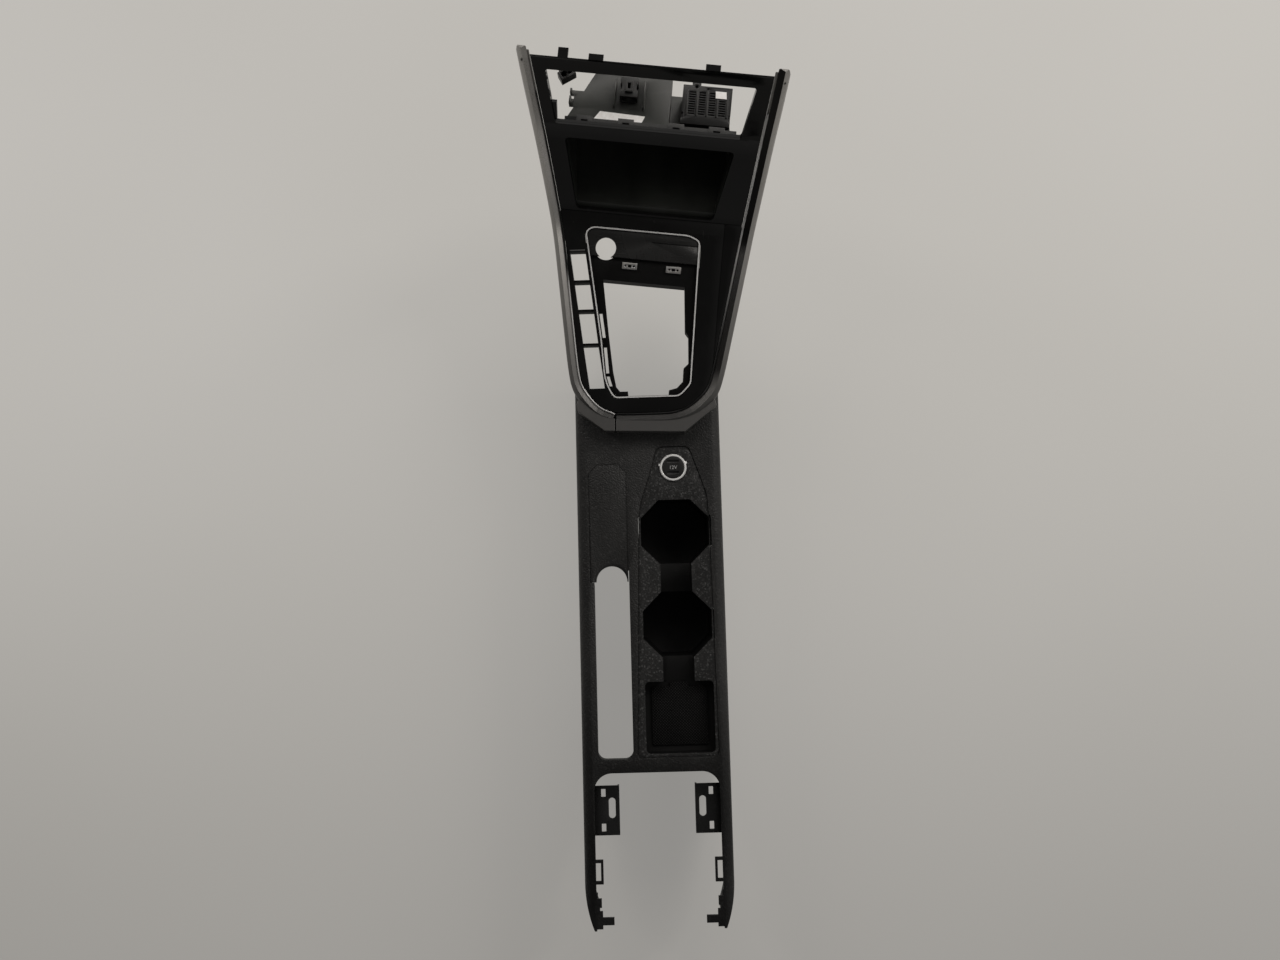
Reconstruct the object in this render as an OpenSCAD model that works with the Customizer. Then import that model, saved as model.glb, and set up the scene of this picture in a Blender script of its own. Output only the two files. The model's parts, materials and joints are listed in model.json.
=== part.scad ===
// Centre console of a small car, taken out of the car.
// The tunnel housing lies flat with its rear legs towards -Y and the front stack rising towards +Y.
// +X is to the right seen from above with the front ahead, +Z is up, and all sizes are in mm.

/* [Tunnel housing] */
// Width of the tunnel housing across its side walls
tunnel_w = 160; // [154:1:168]
// Height of the tunnel top above the lower edge
tunnel_h = 140; // [130:1:155]
// Wall thickness of the tunnel housing
wall = 3; // [2.5:0.1:3.4]
// Radius along the two long upper edges
shoulder_r = 10; // [6:0.5:12]
// Length of the open gap between the two rear legs
cutout_l = 163; // [150:1:175]
// Corner radius of the gap between the legs
cutout_r = 19; // [12:1:22]
// Width of the top strip on each rear leg
leg_w = 12.5; // [11:0.5:15]
// Length of the curved end of each rear leg
tip_l = 50; // [40:1:60]
// How far the end of each leg curves inwards
tip_in = 10; // [6:0.5:12]
// Height of the lower edge at the rear end of the legs
leg_lift = 58; // [45:1:70]
// Width of the clip loop on each leg
loop_w = 8; // [7:0.5:9]
// Length of the clip loop
loop_l = 25; // [20:1:30]
// Distance of the loop from the rear tips
loop_y = 48; // [46:1:52]
// Length of the hook at the end of each leg
hook_l = 12; // [9:0.5:14]
// Length of the cross bar behind the brake slot
bar_l = 14; // [12:0.5:18]

/* [Handbrake slot] */
// Width of the handbrake slot
slot_w = 38; // [35:0.5:40]
// Distance of the slot centre from the tunnel centre
slot_x = 43.5; // [42:0.5:44.5]
// Length of the slot up to the arch of its cover panel
slot_l = 190; // [180:1:198]
// Corner radius at the rear of the slot
slot_r = 9; // [6:0.5:12]
// Depth of the collar below the slot edge
slot_lip = 7; // [5:0.5:10]

/* [Cover panel in front of the slot] */
// Width of the cover panel
cover_w = 41.4; // [41:0.2:43]
// Length of the cover panel
cover_l = 129; // [120:1:132]
// Chamfer of the two front corners of the panel
cover_chamfer = 10; // [6:0.5:13]
// Thickness of the panel
cover_t = 2.5; // [2:0.1:3]
// Radius of the arch that closes the slot
arch_r = 17; // [15:0.5:17.5]
// Depth of the arched collar
arch_h = 12; // [9:0.5:16]

/* [Cup holder] */
// Distance of the cup row from the tunnel centre
cup_x = 27; // [26:0.5:28]
// Width of each eight-sided cup well
cup_w = 75; // [72:0.5:76]
// Length of each cup well
cup_l = 70; // [66:0.5:73]
// Corner cut of each cup well
cup_cut = 20; // [16:0.5:23]
// Depth of the cup wells
cup_d = 62; // [50:1:75]
// Length of the neck between the two cup wells
neck_l = 31; // [27:0.5:36]
// Width of the neck
neck_w = 34; // [30:0.5:38]
// Depth of the neck
neck_d = 24; // [18:1:30]
// Length of the channel between rear cup and tray
channel_l = 26; // [22:0.5:32]
// Depth of the channel and of the tray
tray_d = 14; // [11:0.5:18]
// Width of the rear tray
tray_w = 76.5; // [74:0.5:79]
// Length of the rear tray
tray_l = 80; // [74:1:88]
// Corner radius of the tray
tray_r = 5; // [3:0.5:8]
// Thickness of the cup holder moulding
cup_wall = 2.2; // [1.8:0.1:2.6]
// How deep the cup holder plate lies below the tunnel top
cup_sink = 1.6; // [1:0.1:2.2]
// Border of the plate to the left of the cup row
plate_left = 47; // [46:0.5:48]
// Border of the plate to the right of the cup row
plate_right = 41.2; // [40.4:0.2:42]
// Half width of the nose of the plate round the socket
nose_w = 18; // [17:0.5:21]
// Thickness of the rubber mat in the tray
mat_t = 1.6; // [1.2:0.1:2.4]
// Gap between the mat and the wall of the tray
mat_gap = 7; // [5:0.5:9]

/* [Power socket] */
// Distance of the socket centre in front of the front cup well
socket_y = 35.4; // [32:0.2:38]
// Outer diameter of the bright socket ring
socket_ring_d = 29.7; // [28:0.1:31]
// Inner diameter of the bright socket ring
socket_face_d = 25.3; // [24.6:0.1:26.4]
// Bore of the socket barrel
socket_bore = 21; // [20.4:0.1:21.8]
// Depth of the socket barrel
socket_depth = 42; // [36:1:50]
// Height of the bright ring above the plate
socket_ring_h = 2.2; // [1.6:0.1:3]
// How far the plug cap pulls out
cap_travel = 26; // [20:1:30]

/* [Front surfaces] */
// Turn of the front stack towards the driver
cant = 7; // [4:0.5:9]
// Height of the gear surround above the tunnel top at its rear end
step_h = 12; // [11:0.5:16]
// Slope of the gear surround
gear_slope = 10.2; // [9:0.2:12]
// Distance from the front end of the bright ring to the bend below the mouth
ring_front_gap = 8.5; // [8:0.5:14]
// Slope of the storage mouth
mouth_slope = 47.3; // [44:0.5:50]
// Length of the mouth face along its slope
mouth_l = 96; // [94:0.5:100]
// Slope of the climate frame
climate_slope = 63.4; // [60:0.5:67]
// Length of the climate face along its slope
climate_l = 80; // [77:0.5:84]
// Thickness of the gloss panels
skin = 3; // [2.4:0.1:3.4]

/* [Side trims] */
// Width of the side trims
trim_w = 13; // [12:0.25:14.5]
// Share by which the right trim is wider than the middle width, and the left trim narrower
trim_turn = 0.096; // [0.05:0.002:0.14]
// Thickness of the trims
trim_t = 2.4; // [2:0.1:2.8]
// Distance of the trim's ridge from the edge of the gloss panel
ridge_a = 8; // [6.5:0.25:9]
// Height of the ridge above the gloss panel
ridge_h = 2.4; // [1.5:0.1:3.2]
// Depth of the outer skirt of the trims
skirt_d = 30; // [24:1:36]
// Width of the bright strip between the gloss panel and the trim
strip_w = 1.6; // [1.2:0.1:2]
// Length by which the trims run past the top of the climate frame
trim_over = 9; // [6:0.5:12]
// Seam between the two trims, left of the tunnel centre
seam_x = 34.6; // [28:0.5:38]

/* [Gloss panel outline] */
// Left half width at the rear end
u_left = 45; // [42:0.5:48]
// Right half width at the rear end
u_right = 38; // [35:0.5:42]
// Left edge at the start of the straight side
left_a = 73; // [71:0.5:75]
// Left edge at the front of the gear surround
left_b = 84; // [82:0.5:86]
// Left edge at the storage mouth
left_c = 93; // [91:0.5:95]
// Left edge at the top
left_d = 102.5; // [100.5:0.5:104.5]
// Right edge at the start of the straight side
right_a = 70; // [68.5:0.5:72]
// Right edge at the front of the gear surround
right_b = 104.5; // [102:0.5:106]
// Right edge at the storage mouth
right_c = 119; // [117:0.5:121]
// Right edge at the top
right_d = 127; // [125:0.5:129]

/* [Gear selector frame] */
// Distance of the ring behind the rear edge of the gloss panel
ring_y = 16.5; // [15:0.5:19]
// Length of the bright ring
ring_l = 176; // [172:1:180]
// Half width of the ring at its rear end
ring_back = 48; // [46:0.5:50]
// Half width of the ring at its front end
ring_front = 62; // [60:0.5:63.5]
// Corner cut of the ring
ring_cut = 12; // [9:0.5:14]
// Width of the bright ring
ring_w = 2.4; // [2:0.1:3]
// Length of the button panel in the ring
button_l = 29; // [27:0.5:32]
// Diameter of the start button hole
start_d = 22; // [20:0.5:23]
// Left distance of the start button hole from the tunnel centre
start_x = 40; // [38.5:0.5:41]
// Half width of the gear opening
gear_w = 44; // [42:0.5:45]
// Depth of the walls of the selector frame
frame_d = 12; // [9:0.5:15]
// Thickness of the selector frame
frame_t = 3; // [2.4:0.1:3.2]
// Width of the switch slots
switch_w = 16.5; // [15:0.25:17]
// Gap between switch row and ring
switch_gap = 2.6; // [2.4:0.1:3]
// Thickness of the bars between the switch slots
switch_bar = 2; // [1.6:0.1:2.6]

/* [Storage compartment] */
// Half width of the mouth at its lower edge
mouth_low = 73; // [70:0.5:75]
// Half width of the mouth at its upper edge
mouth_top = 86.5; // [84:0.5:88]
// Distance of the mouth above the bend
mouth_s = 11; // [10:0.5:13]
// Height of the mouth along the slope
mouth_h = 76.5; // [74:0.5:78]
// Wall thickness of the compartment
box_t = 2.4; // [2:0.1:2.8]
// Plan depth of the compartment from the bend
box_l = 136; // [130:1:142]
// Height of the compartment floor above the tunnel top
box_floor = 50; // [48:0.5:52]

/* [Climate frame] */
// Half width of the climate opening at its lower edge
climate_low = 93.3; // [91:0.5:95]
// Half width of the climate opening at its upper edge
climate_top = 101; // [99:0.5:103]
// Distance of the opening above the bend
climate_s = 6; // [5.5:0.5:7]
// Height of the climate opening along the slope
climate_h = 60; // [57:0.5:62]
// Distance of the opening's middle to the left of the middle of the stack
climate_off = 2.7; // [2:0.1:3.4]
// Width of the stop lug on the left edge of the opening
climate_lug = 6; // [4:0.5:8]
// Depth of the flange along the top of the frame
top_flange = 10; // [8:0.5:14]
// Depth of the collars behind the two openings
collar_d = 4; // [3:0.25:5]

/* [Ventilated module] */
// Width of the module
module_w = 50; // [46:0.5:52]
// Length of the module
module_l = 41; // [38:0.5:43]
// Height of the module
module_h = 33; // [28:0.5:34]
// Columns of vent slots
vent_cols = 4; // [3:1:5]
// Rows of vent slots
vent_rows = 10; // [6:1:11]

/* [Rear brackets] */
// Thickness of the steel
steel_t = 2; // [1.5:0.1:2.5]
// Length of each bracket
bracket_l = 53; // [48:1:58]
// Reach of each bracket inside the edge of the leg
bracket_reach = 26; // [24:0.5:30]
// Depth of the bracket plate below the tunnel top
bracket_drop = 24; // [20:1:28]
// Width of the bolt slot
bolt_slot_w = 7.4; // [6.6:0.1:8]
// Length of the bolt slot
bolt_slot_l = 22; // [18:0.5:24]
// Shank diameter of the small screws
screw_d = 4; // [3.5:0.1:4.5]

/* [Fits] */
// Clearance between pieces that seat on each other
fit = 0.3; // [0.25:0.05:0.35]
// Number of faces of round holes and pins
round_fn = 48; // [32:8:96]

/* [Hidden] */

eps = 0.05;
big = 600;
half_w = tunnel_w / 2;

// Places along the tunnel, counted from the rear tips.
slot_y0 = cutout_l + bar_l;
slot_y1 = slot_y0 + slot_l;
tray_y0 = slot_y0 + 1.5;
tray_y1 = tray_y0 + tray_l;
cup2_y = tray_y1 + channel_l + cup_l / 2;
cup1_y = cup2_y + cup_l + neck_l;
cup_y_end = cup1_y + cup_l / 2;
sock_y = cup_y_end + socket_y;
nose_y = sock_y + nose_w + 5.6;
step_y = nose_y + 15;
edge_y = step_y + 20;

// The turned frame of the front stack.
stack_x = -25;
stack_y = step_y + 3;
// Plan length of the gear surround, which follows the bright ring.
gear_l = edge_y - stack_y + ring_y + ring_l + ring_front_gap;

// Profile of the front surfaces in the turned frame, as distance ahead and height.
pa = [-40, tunnel_h + step_h - 40 * tan(gear_slope)];
pb = [gear_l, tunnel_h + step_h + gear_l * tan(gear_slope)];
pc = pb + mouth_l * [cos(mouth_slope), sin(mouth_slope)];
pd = pc + climate_l * [cos(climate_slope), sin(climate_slope)];
pe = pd + 40 * [cos(climate_slope), sin(climate_slope)];

// Corner rounding: each inner corner becomes a short curve of n steps that starts r before it.
function bend(a, p, b, r, n) =
  let (ra = min(r, norm(a - p) * 0.48), rb = min(r, norm(b - p) * 0.48))
  let (s = p + (a - p) / norm(a - p) * ra, e = p + (b - p) / norm(b - p) * rb)
  [for (i = [0 : n]) let (t = i / n) (1 - t) * (1 - t) * s + 2 * t * (1 - t) * p + t * t * e];
function open_bends(pts, r, n) = [
  pts[0],
  for (i = [1 : len(pts) - 2]) each bend(pts[i - 1], pts[i], pts[i + 1], r, n),
  pts[len(pts) - 1]
];
function closed_bends(pts, r, n) =
  let (m = len(pts))
  [for (i = [0 : m - 1]) each bend(pts[(i + m - 1) % m], pts[i], pts[(i + 1) % m], r, n)];

// Points between the corners, so that long sides follow the surface below them.
function divided(path, step) = [
  for (i = [0 : len(path) - 2])
    let (d = path[i + 1] - path[i], n = max(1, ceil(norm(d) / step)))
    for (k = [0 : n - 1]) path[i] + d * k / n,
  path[len(path) - 1]
];

// Sideways shift of a path, to its right for positive values.
function right_of(d) = [d[1], -d[0]] / norm(d);
function mitre(a, b) = (a + b) / (1 + a * b);
function side_at(path, i) =
  let (m = len(path))
  i == 0 ? right_of(path[1] - path[0])
  : i == m - 1 ? right_of(path[m - 1] - path[m - 2])
  : mitre(right_of(path[i] - path[i - 1]), right_of(path[i + 1] - path[i]));
function shifted(path, d) = [for (i = [0 : len(path) - 1]) path[i] + side_at(path, i) * d];
// The trims' section grows evenly from the left side to the right side.
function side_scale(q) = 1 + trim_turn * max(-1, min(1, q[0] / left_a));
function side_shifted(path, d) =
  [for (i = [0 : len(path) - 1]) path[i] + side_at(path, i) * d * side_scale(path[i])];
function ring_side(path, i) =
  let (m = len(path))
  mitre(right_of(path[i] - path[(i + m - 1) % m]), right_of(path[(i + 1) % m] - path[i]));
function ring_shifted(path, d) = [for (i = [0 : len(path) - 1]) path[i] + ring_side(path, i) * d];
function reversed(path) = [for (i = [len(path) - 1 : -1 : 0]) path[i]];

profile = open_bends([pa, pb, pc, pe], 14, 6);
function ahead(q) = (q[0] - stack_x) * sin(cant) + (q[1] - stack_y) * cos(cant);
function height(v) = lookup(v, profile);
function slope(v) = atan((height(v + 1) - height(v - 1)) / 2);
// Plan place in the turned frame, given as sideways and ahead.
function turned(w, v) = [
  stack_x + w * cos(cant) + v * sin(cant),
  stack_y - w * sin(cant) + v * cos(cant)
];

// Edge of the gloss panels in plan, from the top left round the rear end to the top right.
edge_path = divided(open_bends([
  [-left_d - 3, turned(0, pd[0])[1] + 40],
  [-left_d, turned(0, pd[0])[1] + 13],
  [-left_c, turned(0, pb[0])[1] + 58],
  [-left_b, turned(0, pb[0])[1] - 6],
  [-left_a, edge_y + 48],
  [-left_a + 4, edge_y + 28],
  [-u_left, edge_y + 1],
  [u_right, edge_y + 1],
  [right_a - 6, edge_y + 22],
  [right_a, edge_y + 38],
  [right_b, turned(0, pb[0])[1] - 14],
  [right_c, turned(0, pb[0])[1] + 53],
  [right_d, turned(0, pd[0])[1] - 8],
  [right_d + 3, turned(0, pd[0])[1] + 22]
], 22, 5), 16);

body_in = trim_w - trim_t - 2 * fit;

// Bright ring round the selector, counterclockwise from its rear left corner.
ring_y0 = edge_y + ring_y;
function ring_front_y(x) = ring_y0 + ring_l - x * tan(cant);
ring_path = closed_bends([
  [-ring_back + ring_cut, ring_y0],
  [ring_back - ring_cut, ring_y0],
  [ring_back + 1, ring_y0 + ring_cut + 1],
  [ring_front, ring_front_y(ring_front) - 5],
  [ring_front - ring_cut, ring_front_y(ring_front - ring_cut)],
  [-ring_front + 8, ring_front_y(-ring_front + 8)],
  [-ring_front, ring_front_y(-ring_front) - 6],
  [-ring_back - 1, ring_y0 + 62],
  [-ring_back + 1.5, ring_y0 + 24],
  [-ring_back + 5, ring_y0 + 12]
], 5, 4);

// Switch row to the left of the ring.
sw_y0 = ring_y0 + 11.5;
sw_y1 = ring_y0 + 158.5;
function ring_left(y) = lookup(y, [
  [ring_y0 + 12, -ring_back + 5], [ring_y0 + 24, -ring_back + 1.5], [ring_y0 + 62, -ring_back - 1],
  [ring_front_y(-ring_front) - 6, -ring_front]
]);
function sw_right(y) = ring_left(y) - switch_gap;
function sw_left(y) = sw_right(y) - switch_w;
sw_bars = [sw_y0, sw_y0 + 47, sw_y0 + 83, sw_y0 + 114, sw_y1];

// Gear opening.
gear_y0 = ring_y0 + 3;
gear_y1 = ring_front_y(0) - button_l - 25;
gear_path = [
  [-20, gear_y0], [24, gear_y0], [24.5, gear_y0 + 5], [gear_w - 11, gear_y0 + 7],
  [gear_w - 4, gear_y0 + 14], [gear_w - 3, gear_y0 + 28], [gear_w + 2.6, gear_y0 + 33],
  [gear_w + 3, gear_y0 + 62], [gear_w - 0.5, gear_y0 + 67],
  [gear_w, gear_y1 - gear_w * tan(cant)], [-gear_w, gear_y1 + gear_w * tan(cant)],
  [-gear_w + 4, gear_y0 + 70], [-gear_w + 8, gear_y0 + 27], [-gear_w + 11, gear_y0 + 10],
  [-gear_w + 15, gear_y0 + 5], [-20.5, gear_y0 + 5]
];

// Corners of a trapezoid standing on a slope.
function trapezoid(low, top, s0, h, grow) =
  let (k = (top - low) / h)
  [[-low + k * grow - grow, s0 - grow], [low - k * grow + grow, s0 - grow],
   [top + k * grow + grow, s0 + h + grow], [-top - k * grow - grow, s0 + h + grow]];

module stack() { translate([stack_x, stack_y, 0]) rotate([0, 0, -cant]) children(); }
module on_mouth() { stack() translate([0, pb[0], pb[1]]) rotate([mouth_slope, 0, 0]) children(); }
module on_climate() {
  stack() translate([-climate_off, pc[0], pc[1]]) rotate([climate_slope, 0, 0]) children();
}
// A side view in the turned frame, drawn as distance ahead and height, pushed out sideways.
module side_view(w0, w1) {
  stack() translate([w0, 0, 0]) rotate([90, 0, 90]) linear_extrude(w1 - w0) children();
}
// Layer between two levels above the front surface.
module layer(top, bottom) {
  side_view(-big / 2, big / 2)
    polygon(concat(shifted(profile, -top), reversed(shifted(profile, -bottom))));
}
// Skin swept along a plan path: outer and inner are the two sides of its section, as [side, height].
module swept(path, outer, inner, low = -1000) {
  m = len(outer);
  n = len(path);
  function place(i, p) =
    let (q = path[i] + side_at(path, i) * p[0] * side_scale(path[i]))
    [q[0], q[1], max(low, height(ahead(q)) + p[1] / cos(slope(ahead(q))))];
  pts = [
    for (i = [0 : n - 1]) each [for (p = outer) place(i, p), for (p = reversed(inner)) place(i, p)]
  ];
  s = 2 * m;
  skin_faces = [
    for (i = [0 : n - 2]) for (k = [0 : s - 1])
      let (a = i * s + k, b = i * s + (k + 1) % s)
      each [[a, b + s, b], [a, a + s, b + s]]
  ];
  start_cap = [for (k = [0 : m - 2]) each [[k, s - 2 - k, s - 1 - k], [k, k + 1, s - 2 - k]]];
  end_cap = [for (f = start_cap) [for (j = reversed(f)) j + (n - 1) * s]];
  polyhedron(pts, concat(skin_faces, start_cap, end_cap), convexity = 8);
}
module swept_ring(path, outer, inner) {
  m = len(outer);
  n = len(path);
  function place(i, p) =
    let (q = path[i] + ring_side(path, i) * p[0])
    [q[0], q[1], height(ahead(q)) + p[1] / cos(slope(ahead(q)))];
  pts = [
    for (i = [0 : n - 1]) each [for (p = outer) place(i, p), for (p = reversed(inner)) place(i, p)]
  ];
  s = 2 * m;
  polyhedron(pts, [
    for (i = [0 : n - 1]) for (k = [0 : s - 1])
      let (a = i * s + k, b = i * s + (k + 1) % s, c = ((i + 1) % n) * s)
      each [[a, b, c + (k + 1) % s], [a, c + (k + 1) % s, c + k]]
  ], convexity = 8);
}

// Outline of the tunnel across, with rounded shoulders.
module tunnel_section(inset) {
  w = half_w - inset;
  h = tunnel_h - inset;
  r = shoulder_r - inset;
  low = inset > 0 ? -1 : 0;
  translate([-w, low]) square([2 * w, h - r - low]);
  translate([-w + r, low]) square([2 * (w - r), h - low]);
  for (x = [-w + r, w - r]) translate([x, h - r]) circle(r, $fn = round_fn);
}
module tunnel_block(inset, y0, y1) {
  translate([0, y1, 0]) rotate([90, 0, 0]) linear_extrude(y1 - y0) tunnel_section(inset);
}
tip_path = [for (i = [0 : 8]) let (t = i / 8) [half_w - tip_in * (1 - t) * (1 - t), tip_l * t]];
// Plan of the tunnel with its curved rear ends, grown or shrunk sideways.
function tunnel_plan(inset, y1) = concat(
  [for (p = tip_path) [p[0] - inset, p[1]]], [[half_w - inset, y1], [-half_w + inset, y1]],
  [for (p = reversed(tip_path)) [-p[0] + inset, p[1]]]
);

plate_path = closed_bends([
  [cup_x - nose_w, nose_y], [cup_x - nose_w - 9, sock_y - 8], [cup_x - plate_left + 9, cup_y_end - 4],
  [cup_x - plate_left + 7, cup1_y + 4], [cup_x - plate_left, tray_y0], [cup_x + plate_right, tray_y0],
  [cup_x + plate_right - 3, cup1_y + 4], [cup_x + plate_right - 4.5, cup_y_end + 4],
  [cup_x + nose_w + 11, sock_y - 8], [cup_x + nose_w, nose_y]
], 7, 4);
cover_y1 = slot_y1 + cover_l;
cover_x = -slot_x - 2.5;
cover_path = [
  [cover_x - cover_w / 2, slot_y1], [cover_x + cover_w / 2, slot_y1],
  [cover_x + cover_w / 2, cover_y1 - cover_chamfer],
  [cover_x + cover_w / 2 - cover_chamfer + 1, cover_y1],
  [cover_x - cover_w / 2 + cover_chamfer, cover_y1],
  [cover_x - cover_w / 2, cover_y1 - cover_chamfer]
];
function octagon(y) = [
  [cup_x - cup_w / 2 + cup_cut, y - cup_l / 2], [cup_x + cup_w / 2 - cup_cut, y - cup_l / 2],
  [cup_x + cup_w / 2, y - cup_l / 2 + cup_cut], [cup_x + cup_w / 2, y + cup_l / 2 - cup_cut],
  [cup_x + cup_w / 2 - cup_cut, y + cup_l / 2], [cup_x - cup_w / 2 + cup_cut, y + cup_l / 2],
  [cup_x - cup_w / 2, y + cup_l / 2 - cup_cut], [cup_x - cup_w / 2, y - cup_l / 2 + cup_cut]
];
module slot_outline(grow) {
  x0 = -slot_x - slot_w / 2 - grow;
  x1 = -slot_x + slot_w / 2 + grow;
  r = slot_r + grow;
  translate([x0 + r, slot_y0 - grow]) square([x1 - x0 - 2 * r, slot_y1 + 12 - slot_y0 + grow]);
  translate([x0, slot_y0 - grow + r]) square([x1 - x0, slot_y1 + 12 - slot_y0 + grow - r]);
  for (x = [x0 + r, x1 - r]) translate([x, slot_y0 - grow + r]) circle(r, $fn = round_fn);
}
// Gap between the two rear legs, with the loops, steps and hooks on its two sides.
gap_x = half_w - leg_w;
module leg_gap() {
  difference() {
    union() {
      translate([-gap_x, -10]) square([2 * gap_x, cutout_l + 10 - cutout_r]);
      translate([-gap_x + cutout_r, -10]) square([2 * (gap_x - cutout_r), cutout_l + 10]);
      for (s = [-1, 1]) translate([s * (gap_x - cutout_r), cutout_l - cutout_r]) circle(cutout_r, $fn = round_fn);
    }
    for (s = [-1, 1]) scale_x(s) {
      // Clip loop, open in the middle.
      translate([gap_x - loop_w, loop_y]) difference() {
        square([loop_w + 1, loop_l]);
        translate([2.6, 3]) square([loop_w - 2.6, loop_l - 6]);
      }
      // Steps towards the tip and the hook at the end.
      translate([gap_x - 1.5, tip_l - 16]) square([4, 5]);
      translate([gap_x - 5.5, tip_l - 26]) square([8, 9]);
      translate([gap_x - 3.5, tip_l - 31]) square([6, 6]);
      translate([gap_x - 6.5, 2]) square([8, tip_l - 32]);
      translate([gap_x - 6.5 - hook_l, 6]) square([hook_l + 1, 7.5]);
    }
  }
}
module scale_x(s) { mirror([s < 0 ? 1 : 0, 0, 0]) children(); }

front_v = pb[0] + 6;
body_edge = side_shifted(edge_path, body_in);
body_edge_in = side_shifted(edge_path, body_in - wall);

module on_surface(q) {
  v = ahead(q);
  translate([q[0], q[1], height(v)]) rotate([0, 0, -cant]) rotate([gear_slope, 0, 0]) children();
}
screw_bite = 2;
screw_head_h = 1.6;
screw_head_r = screw_d / 2 + 1.6;
frame_top = -skin - fit;
frame_lap = 4.5;
boss_l = 9;
lug_r = screw_d / 2 + 4;
rear_screws = [[-22, ring_y0 - 6], [26, ring_y0 - 6]];
frame_screws = concat(rear_screws, [[-16, ring_front_y(-16) - 6.5], [38, ring_front_y(38) - 6.5]]);
bracket_y = cutout_l - bracket_l - 18;
bracket_screw_y = [bracket_y + 9, bracket_y + bracket_l - 9];
bracket_screw_z = tunnel_h - bracket_drop - 12;

module up_to_front(v) { stack() translate([-big / 2, -big, -big]) cube([big, big + v, 2 * big]); }

module console_body() {
  plate_z = tunnel_h - cup_sink - cup_wall;
  color([0.16, 0.16, 0.165]) difference() {
    union() {
      difference() {
        union() {
          intersection() {
            tunnel_block(0, 0, edge_y + 36);
            translate([0, 0, -1]) linear_extrude(tunnel_h + 1) polygon(tunnel_plan(0, edge_y + 36));
          }
          // Front part that widens below the trims.
          intersection() {
            linear_extrude(tunnel_h) polygon(body_edge);
            up_to_front(front_v);
          }
          // Raised wall and seat of the trims and of the gloss panel.
          intersection() {
            translate([0, 0, tunnel_h - wall]) linear_extrude(big) polygon(body_edge);
            side_view(-big / 2, big / 2) polygon(concat(
              shifted(profile, skin + 1.8), [[pe[0], tunnel_h - wall], [-40, tunnel_h - wall]]));
            up_to_front(front_v);
          }
        }
        // Hollow below the top wall.
        intersection() {
          tunnel_block(wall, -1, edge_y + 40);
          translate([0, 0, -1]) linear_extrude(tunnel_h) polygon([
            for (p = tunnel_plan(wall, edge_y + 40)) [p[0], p[1] < 1 ? -1 : p[1]]]);
        }
        translate([0, 0, -1]) linear_extrude(tunnel_h + 1 - wall) polygon(body_edge_in);
        // Room for the switch row and the selector, open at the top inside the seat.
        translate([0, 0, tunnel_h - wall - 1]) linear_extrude(big) polygon([
          [sw_left(sw_y0 - 5) - 4.5, sw_y0 - 8], [0, sw_y0 - 8], [0, sw_y1 + 12],
          [sw_left(sw_y1 + 9) - 4.5, sw_y1 + 12]]);
        translate([0, 0, tunnel_h - wall - 1]) linear_extrude(big) polygon(shifted(edge_path, -8));
        intersection() {
          translate([0, 0, tunnel_h - wall - 1]) linear_extrude(big) polygon(body_edge_in);
          side_view(-big / 2, big / 2) polygon(concat(
            shifted(profile, skin + 1.8 + wall), [[pe[0], 0], [-40, 0]]));
        }
      }
      // Thickened seats below the recesses of the panel and the cup holder.
      translate([0, 0, plate_z - fit - wall]) linear_extrude(wall + 0.5) polygon(ring_shifted(plate_path, 3));
      translate([0, 0, tunnel_h - cover_t - fit - wall]) linear_extrude(wall + 0.5)
        polygon(ring_shifted(cover_path, 2.4));
      translate([0, 0, tunnel_h - wall - slot_lip]) linear_extrude(slot_lip + 0.5) intersection() {
        slot_outline(2);
        translate([-big / 2, -big / 2]) square([big, big / 2 + slot_y1 - 3]);
      }
      // Bosses that carry the rear of the selector frame.
      for (q = rear_screws) on_surface(q) translate([0, 0, frame_top - frame_t - fit - boss_l])
        cylinder(h = boss_l, r = screw_d / 2 + 2, $fn = round_fn);
      // Bridge below the front of the selector frame.
      intersection() {
        linear_extrude(big) polygon(side_shifted(edge_path, body_in - 0.5));
        side_view(-big / 2, big / 2) polygon([
          [front_v - 16, height(front_v - 16) - 20], [front_v, height(front_v - 16) - 20],
          [front_v, height(front_v - 16) - 6], [front_v - 16, height(front_v - 16) + frame_top - frame_t - 0.6]]);
      }
    }
    // Recess and opening of the cup holder.
    translate([0, 0, plate_z - fit]) linear_extrude(big) polygon(plate_path);
    translate([0, 0, -1]) linear_extrude(big) {
      polygon(ring_shifted(plate_path, -3));
      for (y = [cup1_y, cup2_y]) polygon(ring_shifted(octagon(y), cup_wall + fit));
      translate([cup_x - tray_w / 2 - cup_wall + 1 - fit, tray_y0 + 1.6 - fit])
        square([tray_w + 2 * (cup_wall + fit) - 2, tray_l + cup_wall - 1.6 + 2 * fit]);
    }
    // Recess and opening of the cover panel.
    translate([0, 0, tunnel_h - cover_t - fit]) linear_extrude(big) polygon(ring_shifted(cover_path, fit));
    translate([0, 0, -1]) linear_extrude(big) polygon(ring_shifted(cover_path, -4));
    translate([0, 0, -1]) linear_extrude(big) slot_outline(0);
    translate([0, 0, -1]) linear_extrude(big) intersection() {
      translate([-slot_x, slot_y1]) circle(arch_r + 4.6, $fn = 64);
      polygon(ring_shifted(cover_path, fit));
    }
    translate([0, 0, -1]) linear_extrude(big) leg_gap();
    // Blind holes of the bracket screws and of the selector screws.
    for (s = [-1, 1]) for (y = bracket_screw_y) scale_x(s) translate([half_w - wall - 1, y, bracket_screw_z])
      rotate([0, 90, 0]) cylinder(h = 1 + screw_bite + fit, r = screw_d / 2 + fit / 2, $fn = round_fn);
    for (q = frame_screws) on_surface(q) translate([0, 0, frame_top - frame_t - boss_l + 1])
      cylinder(h = boss_l + 4, r = screw_d / 2 + fit / 2, $fn = round_fn);
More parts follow.
